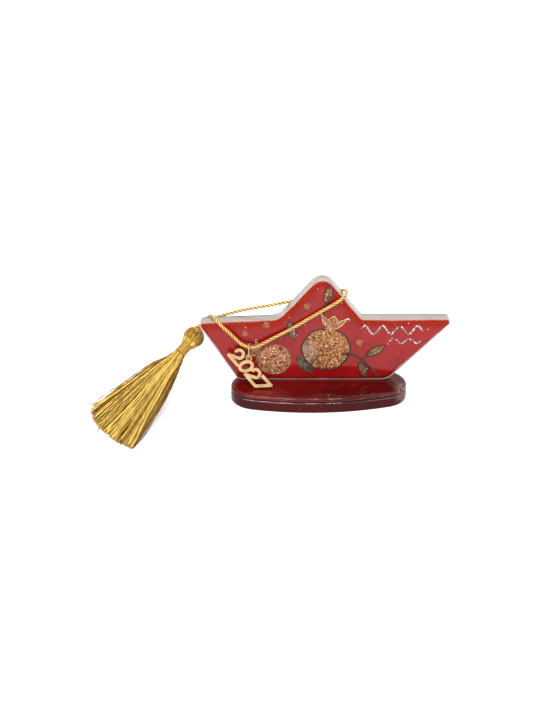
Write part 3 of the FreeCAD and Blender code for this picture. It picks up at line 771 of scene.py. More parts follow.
def glass_paint(name, first, second, scale, roughness, change, depth, patch=None, shoulder=None, **constants):
    """Cloudy glossy glass with tiny flecks, and an optional patch (colour, centre, radius) of pale froth.

    A shoulder is a low and a high height, and the gloss of the clear skin at each.
    """
    def repaint(tree, shader, tone):
        flecks = use_group(tree, tiny_flecks(), {"Scale": 520.0, "Share": 0.06})["Mask"]
        bright = tuple(min(1.0, c + 0.16) for c in first)
        tone = blend_colours(tree, math_node(tree, "MULTIPLY", flecks, 0.5), tone, bright)
        if patch:
            shade, centre, radius = patch
            froth = ranged(tree, noise(tree, 620.0, 3.0, 0.7), 0.36, 0.74)
            share = math_node(tree, "MULTIPLY", near_spot(tree, centre, radius, 0.9), froth)
            tone = blend_colours(tree, share, tone, shade)
        if shoulder:
            feed(tree, shader.inputs["Coat Weight"], ranged(tree, coordinate(tree, object_place(tree), "Z"), *shoulder))
        return tone
    return cloudy(name, first, second, scale, roughness, change, depth, repaint=repaint, **constants)


def plate_glass(glass):
    """Pale grey plate glass, with painted shade towards the back of its edges and a painted pink highlight along their
    front, and with the red showing through its back.
    """
    low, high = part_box("boat_plate")

    def repaint(tree, shader, tone):
        depth = coordinate(tree, object_place(tree), "Y")
        # Painted shade: a dark band along the back of the edges.
        back = ranged(tree, depth, high.y - 2.4 * MM, high.y - 0.9 * MM, 0.0, 0.90)
        # Painted highlight: a pale pink band along the front of the edges.
        front = ranged(tree, depth, low.y, low.y + 1.0 * MM, 0.35, 0.0)
        facing = coordinate(tree, put(tree, "ShaderNodeTexCoord").outputs["Normal"], "Y")
        inputs = {"First": (0.26, 0.020, 0.026), "Second": (0.17, 0.016, 0.022), "Scale": 26.0}
        through = use_group(tree, uneven_colour(), inputs)["Color"]
        tone = blend_colours(tree, back, tone, (0.080, 0.052, 0.048))
        tone = blend_colours(tree, ranged(tree, facing, 0.80, 0.99), tone, through)
        return blend_colours(tree, front, tone, (0.60, 0.34, 0.31))
    return cloudy(
        "Plate glass", glass.edge, [c * 0.84 for c in glass.edge], 60.0, 0.34, 0.25, 0.15 * MM, repaint=repaint,
        Coat_Weight=0.6, Coat_Roughness=0.06, IOR=1.5, Specular_IOR_Level=0.3, Transmission_Weight=0.06,
    )


def yarn_paint(name, settings, turns, fold_low, fold_high, depth, **constants):
    """Paint of spun yarn, made once for each name."""
    made = bpy.data.materials.get(name)
    if made:
        return made
    material, tree, shader = new_material(name, **constants)
    inputs = {
        "Light": settings.light, "Dark": settings.dark, "Fibre turns": turns,
        "Fold low": fold_low, "Fold high": fold_high,
    }
    look = use_group(tree, spun_yarn(), inputs)
    feed(tree, shader.inputs["Base Color"], look["Color"])
    bump(tree, shader, look["Height"], depth, 0.7)
    return material


def silk(tassel):
    """The tassel's silk, shared by its head, neck and skirt."""
    tint = (1.0, 0.80, 0.42, 1.0)
    return yarn_paint(
        "Golden silk", tassel, 620.0, 0.0, 1.0, 0.09 * MM, Roughness=0.29, Metallic=0.32, Specular_Tint=tint,
    )


def cord_gold(cord):
    """The cord's lurex yarn, shared by the cord and its knot."""
    # The fold range 0.66 to 0.99 puts painted shade in the grooves between the plies.
    return yarn_paint("Golden cord yarn", cord, 1500.0, 0.66, 0.99, 0.05 * MM, Roughness=0.34, Metallic=0.35)


# ---------------------------------------------------------------- places taken from the frame

def joint(name):
    """One joint's facts from the frame."""
    return next(j for j in frame["joints"] if j["name"] == name)


def knot_place():
    """Middle of the cord's knot."""
    return np.array(joint("tassel_sweep")["pos_m"])


def head_place():
    """Middle of the tassel's head."""
    return np.array(joint("skirt_lift")["pos_m"])


def head_radius():
    """Radius of the tassel's head."""
    low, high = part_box("tassel_head")
    return (high.x - low.x) / 2


def skirt_way():
    """Level direction that the skirt points in."""
    ax = joint("skirt_lift")["axis"]
    return unit(np.array((-ax[1], ax[0], 0.0)))


def neck_way(drop):
    """Direction of the binding, which drops from level by an angle."""
    return skirt_way() * math.cos(drop) - np.array((0, 0, math.sin(drop)))


# ---------------------------------------------------------------- operators

class PieceOperator:
    """What the operators share."""

    bl_options = {"REGISTER", "UNDO"}

    def execute(self, context):
        self.build(context.scene)
        return {"FINISHED"}


class CHARM_OT_stage(PieceOperator, Operator):
    """Make the floor, the soft lamps, the bright surroundings and the camera"""

    bl_idname = "charm.stage"
    bl_label = "Stage"

    def build(self, scene):
        studio = scene.charm_studio
        scene.view_settings.view_transform = "Standard"
        self.floor(studio)
        self.surroundings(scene)
        self.lamps()
        self.camera(scene, studio)

    def floor(self, studio):
        mesh = bpy.data.meshes.new("floor")
        reach = 6.0
        corners = [(-reach, -reach, 0), (reach, -reach, 0), (reach, reach, 0), (-reach, reach, 0)]
        mesh.from_pydata(corners, [], [(0, 1, 2, 3)])
        floor = bpy.data.objects.new("floor", mesh)
        bpy.context.scene.collection.objects.link(floor)
        material, tree, shader = new_material("Pale floor", Roughness=0.9, Specular_IOR_Level=0.1)
        feed(tree, shader.inputs["Base Color"], studio.floor)
        away = put(tree, "ShaderNodeVectorMath", {0: object_place(tree)}, operation="LENGTH").outputs["Value"]
        strength = math_node(tree, "MULTIPLY", background_rays(tree), ranged(tree, away, 0.3, 1.5, 0.34, 0.62))
        glow = put(tree, "ShaderNodeEmission", {"Color": (1.0, 1.0, 1.0), "Strength": strength})
        both = put(tree, "ShaderNodeAddShader", {0: shader.outputs[0], 1: glow.outputs[0]})
        feed(tree, tree.nodes["Material Output"].inputs["Surface"], both.outputs[0])
        mesh.materials.append(material)

    def surroundings(self, scene):
        world = bpy.data.worlds.new("Bright room")
        scene.world = world
        world.use_nodes = True
        tree = world.node_tree
        back = tree.nodes["Background"]
        shown = math_node(tree, "MULTIPLY", background_rays(tree), 0.38)
        tree.links.new(math_node(tree, "ADD", 0.62, shown), back.inputs["Strength"])
        back.inputs["Color"].default_value = (1.0, 1.0, 1.0, 1.0)

    def lamps(self):
        low, high = CAD_BOX
        middle = (low + high) / 2
        lamps = [
            ("key softbox", (-0.45, -0.55, 0.75), (0.85, 0.85), 5.3),
            ("fill softbox", (0.65, -0.40, 0.50), (0.60, 0.60), 2.3),
            ("back softbox", (0.10, 0.60, 0.65), (0.60, 0.60), 1.9),
        ]
        glints = ((-0.33, 0.10), (-0.20, 0.05), (-0.08, 0.09), (0.06, 0.06), (0.17, 0.08))
        for k, (x, wide) in enumerate(glints, 1):
            lamps.append((f"glint strip {k}", (x, -0.40, 0.62), (wide, 0.024), wide * 11.0))
        for name, offset, size, power in lamps:
            lamp = bpy.data.lights.new(name, "AREA")
            lamp.shape, lamp.energy = "RECTANGLE", power
            lamp.size, lamp.size_y = size
            item = bpy.data.objects.new(name, lamp)
            item.location = middle + Vector(offset)
            item.rotation_euler = (middle - item.location).to_track_quat("-Z", "Y").to_euler()
            bpy.context.scene.collection.objects.link(item)

    def camera(self, scene, studio):
        data = bpy.data.cameras.new("camera")
        data.lens, data.sensor_width, data.clip_start = studio.lens, 36.0, 0.01
        item = bpy.data.objects.new("camera", data)
        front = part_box("boat_enamel")[0].y
        aim = Vector((studio.aside, front, studio.aim_height))
        item.location = aim - Vector((0, math.cos(studio.pitch), -math.sin(studio.pitch))) * studio.distance
        item.rotation_euler = (math.radians(90) - studio.pitch, 0, 0)
        bpy.context.scene.collection.objects.link(item)
        scene.camera = item


def cord_path():
    """Close points along the cord's smooth centre line."""
    data = bpy.data.curves.new("cord line", "CURVE")
    data.dimensions = "3D"
    line = data.splines.new("NURBS")
    line.points.add(len(CORD_ROUTE) - 1)
    for point, place in zip(line.points, CORD_ROUTE):
        point.co = (*place, 1.0)
    line.order_u = 3
    line.use_endpoint_u = True
    line.resolution_u = 24
    holder = bpy.data.objects.new("cord line", data)
    bpy.context.scene.collection.objects.link(holder)
    mesh = bpy.data.meshes.new_from_object(holder)
    path = np.array([v.co for v in mesh.vertices])
    bpy.data.objects.remove(holder)
    bpy.data.meshes.remove(mesh)
    return evenly(path, 0.33 * MM)


class CHARM_OT_cord(PieceOperator, Operator):
    """Make the twisted cord that is draped over the boat"""

    bl_idname = "charm.cord"
    bl_label = "Cord"

    def build(self, scene):
        cord = scene.charm_cord
        shell = Shell()
        path = cord_path()
        twisted_plies(shell, path, cord.diameter, cord.plies, cord.lay)
        piece = shell.make("twisted_cord", cord_gold(cord), "loop", "cord_loop")

    def on_it(self, scene):
        names = ("cord_knot_wound", "jump_ring", "number_charm", "tassel_head_wound", "tassel_neck_bound")
        return [scene.objects[name] for name in names]


class CHARM_OT_knot(PieceOperator, Operator):
    """Make the cord's knot at the top of the tassel"""

    bl_idname = "charm.knot"
    bl_label = "Knot"

    def build(self, scene):
        cord = scene.charm_cord
        turn = np.linspace(0, 2 * math.pi, 150)
        reach, thick = 1.25 * MM, 0.52 * MM
        ring = reach + thick * np.cos(3 * turn)
        path = np.stack([ring * np.cos(2 * turn), ring * np.sin(2 * turn), thick * 1.5 * np.sin(3 * turn)], axis=1)
        shell = Shell()
        twisted_plies(shell, path + knot_place(), 1.35 * MM, cord.plies, cord.lay * 0.7)
        shell.make("cord_knot_wound", cord_gold(cord), "loop", "cord_knot")


class CHARM_OT_tassel_head(PieceOperator, Operator):
    """Make the tassel's head: yarns drawn over a ball, with a cleft where the cord goes in"""

    bl_idname = "charm.tassel_head"
    bl_label = "Tassel head"

    def build(self, scene):
        tassel = scene.charm_tassel
        rng = np.random.default_rng(21)
        centre, radius = head_place(), head_radius()
        down = neck_way(tassel.neck_drop)
        top = unit(knot_place() - centre)
        shell = Shell()
        side = unit(np.cross(down, (0, 0, 1.0)))
        other = np.cross(down, side)
        cleft = unit(np.array((1.0, 0.0, 0.0)) - top * top[0])
        tilt = np.linspace(0.10, math.pi - 0.56, 26)
        yarn = radius * 0.078
        core = radius - yarn * 1.6

        def skin(angle, polar):
            """Points of the head's surface on one meridian."""
            ring = np.sin(polar)[:, None] * (side * math.cos(angle) + other * math.sin(angle))
            way = ring - np.cos(polar)[:, None] * down
            pull = np.clip(np.cos(polar), 0, 1)[:, None] ** 2
            way = unit(way + pull * (top + down) * 0.9)
            near_top = np.clip(way @ top, 0, 1) ** 3
            notch = np.exp(-((way @ cleft) / 0.20) ** 2) * near_top
            return way, 1.0 - 0.17 * notch

        for k in range(tassel.head_yarns):
            angle = 2 * math.pi * k / tassel.head_yarns + rng.uniform(-0.02, 0.02)
            way, share = skin(angle, tilt)
            lift = (core + yarn * rng.uniform(0.55, 0.85)) * share
            path = centre + way * lift[:, None]
            add_yarn(shell, path, yarn * rng.uniform(0.85, 1.1), 6, rng.uniform(0.08, 0.50))
        rows, columns = np.linspace(0.04, math.pi - 0.30, 30), 48
        rings = []
        for c in range(columns):
            way, share = skin(2 * math.pi * c / columns, rows)
            rings.append(centre + way * (core * share)[:, None])
        grid = np.array(rings).transpose(1, 0, 2).reshape(-1, 3)
        # The ball under the yarns gets a low tone, which shows between them as painted shade.
        shell.add(grid, ring_faces(len(rows), columns), way=0.0, round=0.0, proud=0.1)
        shell.make("tassel_head_wound", silk(tassel), "head", "tassel_head")


def turned_frame(down):
    """Two directions across the tassel's axis: level, and as near upward as it goes."""
    across = unit(np.cross((0, 0, 1.0), down))
    return across, np.cross(down, across)


class CHARM_OT_tassel_neck(PieceOperator, Operator):
    """Make the shoulder and the binding below the tassel's head"""

    bl_idname = "charm.tassel_neck"
    bl_label = "Tassel neck"

    def build(self, scene):
        tassel = scene.charm_tassel
        rng = np.random.default_rng(22)
        down = neck_way(tassel.neck_drop)
        centre, radius, whole = head_place(), head_radius(), tassel.neck
        across, above = turned_frame(down)
        shell = Shell()
        self.shoulder(shell, centre, down, across, above, radius, rng)
        yarn = whole / tassel.neck_turns * 0.54
        turn = np.linspace(0, 2 * math.pi * tassel.neck_turns, 30 * tassel.neck_turns)
        share = turn / turn[-1]
        waist = 3.75 * MM - yarn - 0.25 * MM * np.sin(share * math.pi)
        along = radius + (0.06 + 0.94 * share) * whole
        around = across * np.cos(turn)[:, None] + above * np.sin(turn)[:, None]
        add_yarn(shell, centre + down * along[:, None] + waist[:, None] * around, yarn, 8, 0.40)
        rod = centre + down * (radius + np.linspace(0.02, 1.05, 8) * whole)[:, None]
        points, faces = tube(rod, 3.0 * MM, 24)
        # The core under the binding gets a low tone, which shows between the turns as painted shade.
        shell.add(points, faces, way=0.0, round=0.0, proud=0.1)
        shell.make("tassel_neck_bound", silk(tassel), "skirt", "tassel_neck")

    def shoulder(self, shell, centre, down, across, above, radius, rng):
        """Yarns that leave the ball and draw in to the binding, hollow inside so that they turn on the ball."""
        count, rows = 46, 12
        t = np.linspace(0, 1, rows)
        start, end = math.radians(127), math.radians(149)
        polar = start + (end - start) * t
        slim = 0.40 * MM
        ball = radius + slim * np.interp(t, (0, 0.45), (0.25, 0.95))
        draw = np.clip((t - 0.25) / 0.75, 0, 1) ** 1.6
        ring = ball * np.sin(polar) * (1 - draw) + 3.62 * MM * draw
        along = -ball * np.cos(polar) * (1 - draw) + (radius + 0.5 * MM) * draw
        for k in range(count):
            angle = 2 * math.pi * (k + rng.uniform(-0.2, 0.2)) / count
            out = across * math.cos(angle) + above * math.sin(angle)
            path = centre + down * along[:, None] + out * ring[:, None]
            add_yarn(shell, path, slim * np.interp(t, (0, 0.45, 1), (0.30, 1.0, 0.85)), 6, rng.uniform(0.2, 0.8))


class CHARM_OT_tassel_skirt(PieceOperator, Operator):
    """Make the tassel's threads, spread in a fan that rests on the table"""

    bl_idname = "charm.tassel_skirt"
    bl_label = "Tassel skirt"

    def build(self, scene):
        tassel = scene.charm_tassel
        rng = np.random.default_rng(7)
        down, level = neck_way(tassel.neck_drop), skirt_way()
        across = turned_frame(down)[0]
        root = head_place() + down * (head_radius() + tassel.neck * 0.96)
        slope = -math.tan(tassel.neck_drop)
        settle, clumps = 1.57, 19
        radius = tassel.thread / 2
        edge = radius * 1.05 + 0.2 * MM
        half_root, tip, groove = 2.9 * MM, 3.6 * MM, 1.7 * MM
        s = np.linspace(0, 1, 48)
        shell = Shell()
        golden = math.pi * (3 - math.sqrt(5))
        for k in range(tassel.threads):
            spot = math.sqrt((k + 0.5) / tassel.threads)
            u, v = spot * math.cos(k * golden), spot * math.sin(k * golden)
            rise, wide = v, u
            u = math.copysign(1 - (1 - abs(u)) ** 1.35, u)
            height = v / max(math.sqrt(1 - min(u * u, 0.96)), 0.2)
            height = 0.5 + 0.5 * max(-1.0, min(1.0, height))
            centre = max(-0.95, min(0.95, round(u * clumps / 2) * 2 / clumps))
            bundled = u + (centre - u) * 0.34
            dip = min(1.0, abs(u - centre) * clumps)
            angle = tassel.fan * (bundled + 0.02 * rng.normal())
            way = level * math.cos(angle) + across * math.sin(angle)
            long = tassel.reach + 7.5 * MM * bundled + rng.normal(0, 1.3) * MM
            long -= 2.6 * MM * rng.uniform() * (1 - height)
            along = s * long
            flare = 1.0 - np.exp(-s * 12.0)
            bow = np.sin(s * math.pi) * (0.7 if u > 0 else 0.2) * MM + flare * np.exp(-s * 4.0) * 1.0 * MM
            aside = across * (wide * 3.0 * MM * (1 - s) + bundled * bow)[:, None]
            back = level * (math.sin(tassel.neck_drop) * rise * 3.1 * MM * (1 - s) ** 3)[:, None]
            flat = root + aside + back + way * along[:, None]
            lower = edge + (root[2] - half_root - edge) * (1 - s) ** settle
            lower = lower + tip * max(0.0, -u - 0.45) * s
            tip_high = (tip - 0.9 * MM * u + 2.6 * MM * max(0.0, -u) ** 1.5) * rng.uniform(0.55, 1.08)
            upper = (root[2] + half_root) * (1 - s) + tip_high * s + 0.9 * MM * np.sin(s * math.pi)
            spread = lower + (upper - lower) * height - groove * dip * height * np.sin(s * math.pi * 0.5)
            disc = root[2] + rise * 3.0 * MM * math.cos(tassel.neck_drop) + slope * along
            opened = np.clip(s / 0.30, 0, 1)
            opened = opened * opened * (3 - 2 * opened)
            z = disc * (1 - opened) + spread * opened
            path = np.stack([flat[:, 0], flat[:, 1], z], axis=1)
            loose = np.sin(s * math.pi * 0.5) ** 2
            for waves, size in ((0.9, 0.35), (2.6, 0.22), (6.0, 0.10)):
                phase = rng.uniform(0, 2 * math.pi, 2)
                path = path + across * (loose * size * MM * np.sin(s * waves * 2 * math.pi + phase[0]))[:, None]
                path[:, 2] += loose * size * 0.6 * MM * np.sin(s * waves * 2 * math.pi + phase[1])
            path[:, 2] = np.maximum(path[:, 2], edge)
            spin = s * 2 * math.pi * 4 + rng.uniform(0, 6.28)
            points, faces = tube(path, radius * rng.uniform(0.80, 1.15), 5, flat=0.66, turn=spin)
            points[:, 2] = np.maximum(points[:, 2], 0.02 * MM)
            # Painted shade: threads low in the fan and in the grooves between clumps get a darker tone, around a random
            # tone of their own.
            tone = float(np.clip(rng.normal(0.42 + 0.52 * height - 0.50 * dip, 0.27), 0, 1))
            # About one thread in six is made dark as painted shade between threads.
            if rng.uniform() < 0.16:
                tone = 0.06
            shell.add(points, faces, way=np.repeat(along, 5), round=np.tile(np.arange(5) / 5.0, len(path)), proud=tone)
        shell.make("tassel_skirt_threads", silk(tassel), "skirt", "tassel_skirt")


def base_outline():
    """The base's oval from above, (x, y) in even steps, and the outward direction at each step."""
    spots = [Vector(v.co.xy) for v in frame["nodes"]["base_lower_glass"].data.vertices]
    hull = np.array([spots[k] for k in convex_hull_2d(spots)])
    if double_area(hull) < 0:
        hull = hull[::-1]
    loop = even_loop(hull, 1.5 * MM)
    return loop, outward(loop, [])


def quarter(first, last, upright):
    """(inset, height) points of a quarter round, leaving the first one upright or level."""
    t = np.linspace(0, math.pi / 2, 9)
    level, rise = (1 - np.cos(t), np.sin(t)) if upright else (np.sin(t), 1 - np.cos(t))
    return [(first[0] + (last[0] - first[0]) * a, first[1] + (last[1] - first[1]) * b) for a, b in zip(level, rise)]


class CHARM_OT_base(PieceOperator, Operator):
    """Make the two fused glass slabs of the base, the dark seam between them, their bubbles and the glue line"""

    bl_idname = "charm.base"
    bl_label = "Glass base"

    def build(self, scene):
        glass = scene.charm_glass
        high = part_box("base_upper_glass")[1]
        froth = ((0.27, 0.190, 0.165), (high.x - 2.5 * MM, -7.5 * MM, 6.5 * MM), 8.5 * MM)
        skin = (glass.seam - 1.5 * MM, glass.seam - 0.6 * MM, 0.10, 1.0)
        body = {"IOR": 1.5, "Specular_IOR_Level": 0.05, "Transmission_Weight": 0.03}
        upper = glass_paint(
            "Base glass, upper", glass.base, glass.base_deep, 34.0, 0.10, 0.10, 0.25 * MM, froth,
            Coat_Weight=0.36, Coat_Roughness=0.04, **body,
        )
        lower = glass_paint(
            "Base glass, lower", glass.base_deep, glass.rim, 46.0, 0.16, 0.14, 0.30 * MM, froth, skin,
            Coat_Weight=0.10, Coat_Roughness=0.05, **body,
        )
        red = glass_paint(
            "Base dark red layer", (0.020, 0.0005, 0.0005), (0.008, 0.0002, 0.0002), 60.0, 0.30, 0.12, 0.1 * MM,
            Coat_Weight=0.1, Specular_IOR_Level=0.1,
        )
        # The glue's pale pink colour is partly a painted highlight along the plate's foot.
        glue = glass_paint(
            "Clear glue", (0.50, 0.27, 0.25), (0.38, 0.14, 0.13), 90.0, 0.12, 0.1, 0.1 * MM,
            Coat_Weight=0.6, Transmission_Weight=0.4,
        )
        set_material("glue_line", glue)
        # Each profile is a list of (inset, height) in millimetres; it starts and ends hidden inside the base.
        seam, top, hidden = glass.seam / MM, high.z / MM, 7.0
        low_side = [(hidden, 0.0), (1.5, 0.0), *quarter((1.2, 0.0), (0.0, 1.2), False), (0.0, 3.2)]
        low_side += [*quarter((0.0, seam - 1.9), (1.35, seam - 0.25), True), (1.7, seam - 0.25), (hidden, seam - 0.25)]
        layer = [(hidden, seam - 0.6), (1.05, seam - 0.6), (0.95, seam), (1.05, seam + 0.4), (hidden, seam + 0.4)]
        high_side = [(hidden, seam + 0.1), (1.4, seam + 0.1), *quarter((1.2, seam + 0.1), (0.1, seam + 0.95), False)]
        high_side += [*quarter((0.1, seam + 1.0), (2.9, top), True), (3.3, top), (9.0, top)]
        outline, out = base_outline()
        for name, node, profile, material, slot in (
            ("base_slab_lower", "base_lower_glass", low_side, lower, "base_glass"),
            ("base_seam", "base_red_layer", layer, red, "base_red"),
            ("base_slab_upper", "base_upper_glass", high_side, upper, "base_glass"),
        ):
            rings = [
                np.column_stack([outline - out * inset * MM, np.full(len(outline), height * MM)])
                for inset, height in profile
            ]
            shell = Shell()
            shell.add(np.concatenate(rings), ring_faces(len(rings), len(outline)))
            shell.make(name, material, "ornament", node)
        self.bubbles(glass, outline, out, (low_side[3:-3], high_side[3:-3]))

    def bubbles(self, glass, outline, out, sides):
        """Small bubbles at the surface, most of them at the front rim and the right end."""
        rng = np.random.default_rng(5)
        weight = np.clip(-out[:, 1], 0, 1) + 4.0 * np.clip(out[:, 0], 0, 1)
        shell = Shell()
        for k in rng.choice(len(outline), glass.bubbles, p=weight / weight.sum()):
            side = sides[rng.integers(len(sides))]
            inset, height = side[rng.integers(len(side))]
            size = rng.uniform(0.10, 0.30) * MM
            strewn = rng.normal(0, 0.4, 2) * MM * out[k][::-1] * (1, -1)
            spot = outline[k] - out[k] * (inset * MM + size * 0.45) + strewn
            points, faces = little_ball((*spot, max(height * MM, size)), size)
            shell.add(points, faces)
        material, tree, shader = new_material("Bubble glass", Coat_Weight=1.0, Roughness=0.12)
        inputs = {"First": (0.42, 0.24, 0.24), "Second": (0.22, 0.06, 0.06), "Scale": 900.0}
        feed(tree, shader.inputs["Base Color"], use_group(tree, uneven_colour(), inputs)["Color"])
        shell.make("base_bubbles", material, "ornament")


def little_ball(centre, radius, rows=5, columns=8):
    """Points and faces of a small closed ball."""
    points = [np.array(centre) + (0, 0, radius)]
    for r in range(1, rows):
        polar = math.pi * r / rows
        for c in range(columns):
            angle = 2 * math.pi * c / columns
            way = (math.sin(polar) * math.cos(angle), math.sin(polar) * math.sin(angle), math.cos(polar))
            points.append(np.array(centre) + radius * np.array(way))
    points.append(np.array(centre) - (0, 0, radius))
    faces = [(0, 1 + c, 1 + (c + 1) % columns) for c in range(columns)]
    for r in range(rows - 2):
        a, b = 1 + r * columns, 1 + (r + 1) * columns
        faces += [(a + c, b + c, b + (c + 1) % columns, a + (c + 1) % columns) for c in range(columns)]
    last, row = len(points) - 1, 1 + (rows - 2) * columns
    faces += [(last, row + (c + 1) % columns, row + c) for c in range(columns)]
    return np.array(points), faces


def set_material(node, material):
    """Gives a CAD node a finished material."""
    piece = frame["nodes"][node]
    piece.data.materials.clear()
    piece.data.materials.append(material)


def soften(node, width, segments):
    """Rounds a CAD node's sharp edges with modifiers, its mesh left as it is."""
    piece = frame["nodes"][node]
    weld = piece.modifiers.new("weld", "WELD")
    weld.merge_threshold = 0.002 * MM
    soft = piece.modifiers.new("soften", "BEVEL")
    soft.width, soft.segments = width, segments
    soft.limit_method, soft.angle_limit = "ANGLE", math.radians(50)


class CHARM_OT_plate(PieceOperator, Operator):
    """Finish the boat's thick glass plate"""

    bl_idname = "charm.plate"
    bl_label = "Boat plate"

    def build(self, scene):
        set_material("boat_plate", plate_glass(scene.charm_glass))
        soften("boat_plate", 0.9 * MM, 4)


class CHARM_OT_enamel(PieceOperator, Operator):
    """Make the red enamel front with its uneven brushed border"""

    bl_idname = "charm.enamel"
    bl_label = "Enamel front"

    def build(self, scene):
        rng = np.random.default_rng(3)
        loops, front, back = brushed_loops("boat_enamel", 0.4 * MM, 0.75 * MM, rng)
        upper = tree_of(loops[0][outward(loops[0], [])[:, 1] > 0.25])
        wall, crest = (back - front) * 0.55, (back - front) * 0.45
        shell = Shell()
        paint_patch(shell, loops, back, 1.3 * MM, 0.4 * MM, wall, crest, top_rim=lambda flat: to_border(flat, upper))
        shell.make("enamel_front", enamel_paint(scene.charm_paint), "ornament", "boat_enamel")


def make_glitter_piece(name, node, material, size, seed, tone, spread, rag=0.12, crest=0.22, foot=None):
    """Relief of one node as a pad with glitter grains on it; its foot may run on into another node."""
    rng = np.random.default_rng(seed)
    loops, _, back = brushed_loops(node, 0.3 * MM, rag * MM, rng)
    if foot:
        down = unit(middle_of(foot) - middle_of(node))
        lowest = (loops[0] @ down).max()
        sunk = np.clip(1.0 - (lowest - loops[0] @ down) / (1.1 * MM), 0, 1)
        loops[0] = loops[0] + down * (sunk * 1.15 * MM)[:, None]
    shell = Shell()
    bead, wall, high = 0.5 * MM, 0.12 * MM, crest * MM
    paint_patch(shell, loops, back, 0.6 * MM, bead, wall, high, grain=lambda flat: np.full(len(flat), 0.22))
    glitter(shell, loops, back, bead, wall, high, size, rng, tone, spread)
    shell.make(name, material, "ornament", node, smooth=False)


class CHARM_OT_fruits(PieceOperator, Operator):
    """Make the two glitter pomegranates and their calyxes"""

    bl_idname = "charm.fruits"
    bl_label = "Pomegranates"

    def build(self, scene):
        paint = scene.charm_paint
        low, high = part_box("pomegranate_large")
        ashy = (paint.ash, (low.x + 1.5 * MM, low.y, low.z + 0.42 * (high.z - low.z)), 10.5 * MM)
        copper = glitter_paint("Copper glitter", paint.brown, paint.copper, paint.pale, 0.95, 190.0, 0.5, ashy)
        rosy = glitter_paint(
            "Rosy copper glitter", (0.085, 0.018, 0.008), (0.38, 0.135, 0.055), (0.74, 0.47, 0.27), 0.9, 240.0, 0.5,
        )
        calyx = glitter_paint("Calyx glitter", paint.brown, (0.28, 0.105, 0.040), (0.62, 0.37, 0.19), 0.6, 300.0, 0.5)
        for name, node, material, size, seed, tone, spread, foot in (
            ("fruit_large_glitter", "pomegranate_large", copper, 1.0, 11, 0.5, 0.34, None),
            ("fruit_small_glitter", "pomegranate_small", rosy, 1.0, 12, 0.45, 0.34, None),
            ("calyx_large_glitter", "crown_large", calyx, 0.8, 13, 0.55, 0.26, "pomegranate_large"),
            ("calyx_small_glitter", "crown_small", calyx, 0.75, 14, 0.5, 0.26, "pomegranate_small"),
        ):
            size = paint.grain * size
            make_glitter_piece(name, node, material, size, seed, tone, spread, foot=foot)
        gold = glitter_paint(
            "Pale gold outline", (0.24, 0.09, 0.035), (0.50, 0.28, 0.15), (0.80, 0.54, 0.34), 0.5, 420.0, 0.4,
        )
        self.sepals("crown_large", "pomegranate_large", gold, 0.27 * MM, 15)
        self.sepals("crown_small", "pomegranate_small", gold, 0.22 * MM, 16)

    def sepals(self, node, fruit, gold, thick, seed):
        """Pale outline of a calyx, with its outer points curled away."""
        rng = np.random.default_rng(seed)
        loops, _, back = front_loops(node)
        corners, level = loops[0], back - 0.42 * MM
        up = unit(middle_of(node) - middle_of(fruit))
        side = np.array((up[1], -up[0]))
        rise, out = corners @ up, corners @ side
        middle = (out.min() + out.max()) / 2
        order = np.roll(np.arange(len(corners)), -int(np.argmin(rise + 0.2 * np.abs(out - middle))))
        shell = Shell()
        closed = even_loop(corners[order], 0.28 * MM)
        higher = closed @ up > rise.min() + 0.8 * MM
        first = next(k for k in range(len(closed)) if higher[k] and not higher[k - 1])
        line = np.roll(closed, -first, axis=0)[:higher.sum()]
        stroke(shell, line, level, thick, rng)
        reach = (out.max() - out.min()) * 0.10
        for edge in (1.0, -1.0):
            tip = closed[int(np.argmax((closed @ side - middle) * edge + 0.5 * (closed @ up)))]
            t = np.linspace(0, 1, 16)[:, None]
            curl = tip + side * edge * reach * np.sin(t * 2.2) + up * reach * (0.9 * t - 1.5 * t**2)
            stroke(shell, curl, level, thick * 0.9, rng, taper=True)
        piece = shell.make(node.replace("crown", "calyx") + "_sepals", gold, "ornament")
        grain = piece.data.attributes.new("grain", "FLOAT", "POINT")
        grain.data.foreach_set("value", rng.uniform(0.35, 1.0, len(piece.data.vertices)))


def open_ring(loops, centre, way, gap):
    """A ring's outer and inner outline joined into one, with a gap towards way."""
    parts = []
    for loop in sorted(loops, key=lambda ring: -np.ptp(ring[:, 0])):
        off = loop - centre
        apart = np.abs(np.angle(np.exp(1j * (np.arctan2(off[:, 1], off[:, 0]) - way))))
        kept = apart > gap
        first = next(k for k in range(len(loop)) if kept[k] and not kept[k - 1])
        turned = np.roll(loop, -first, axis=0)
        parts.append(turned[:kept.sum()])
    one, two = parts
    if np.linalg.norm(one[-1] - two[0]) < np.linalg.norm(one[-1] - two[-1]):
        return [np.concatenate([one, two])]
    return [np.concatenate([one, two[::-1]])]


def middle_of(node):
    """Middle (x, z) of a node's box."""
    low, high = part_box(node)
    return np.array(((low.x + high.x) / 2, (low.z + high.z) / 2))


def stroke(shell, flat, level, thick, rng, taper=False):
    """A brushed line of uneven thickness along flat points, standing on y = level."""
    path = standing(flat, level)
    sway = np.interp(np.arange(len(path)), np.linspace(0, len(path), 12), rng.uniform(0.7, 1.3, 12))
    if taper:
        sway = sway * np.interp(np.linspace(0, 1, len(path)), (0, 0.2, 0.75, 1), (0.7, 1.0, 0.9, 0.35))
    points, faces = tube(path, thick * sway, 7)
    shell.add(points, faces)


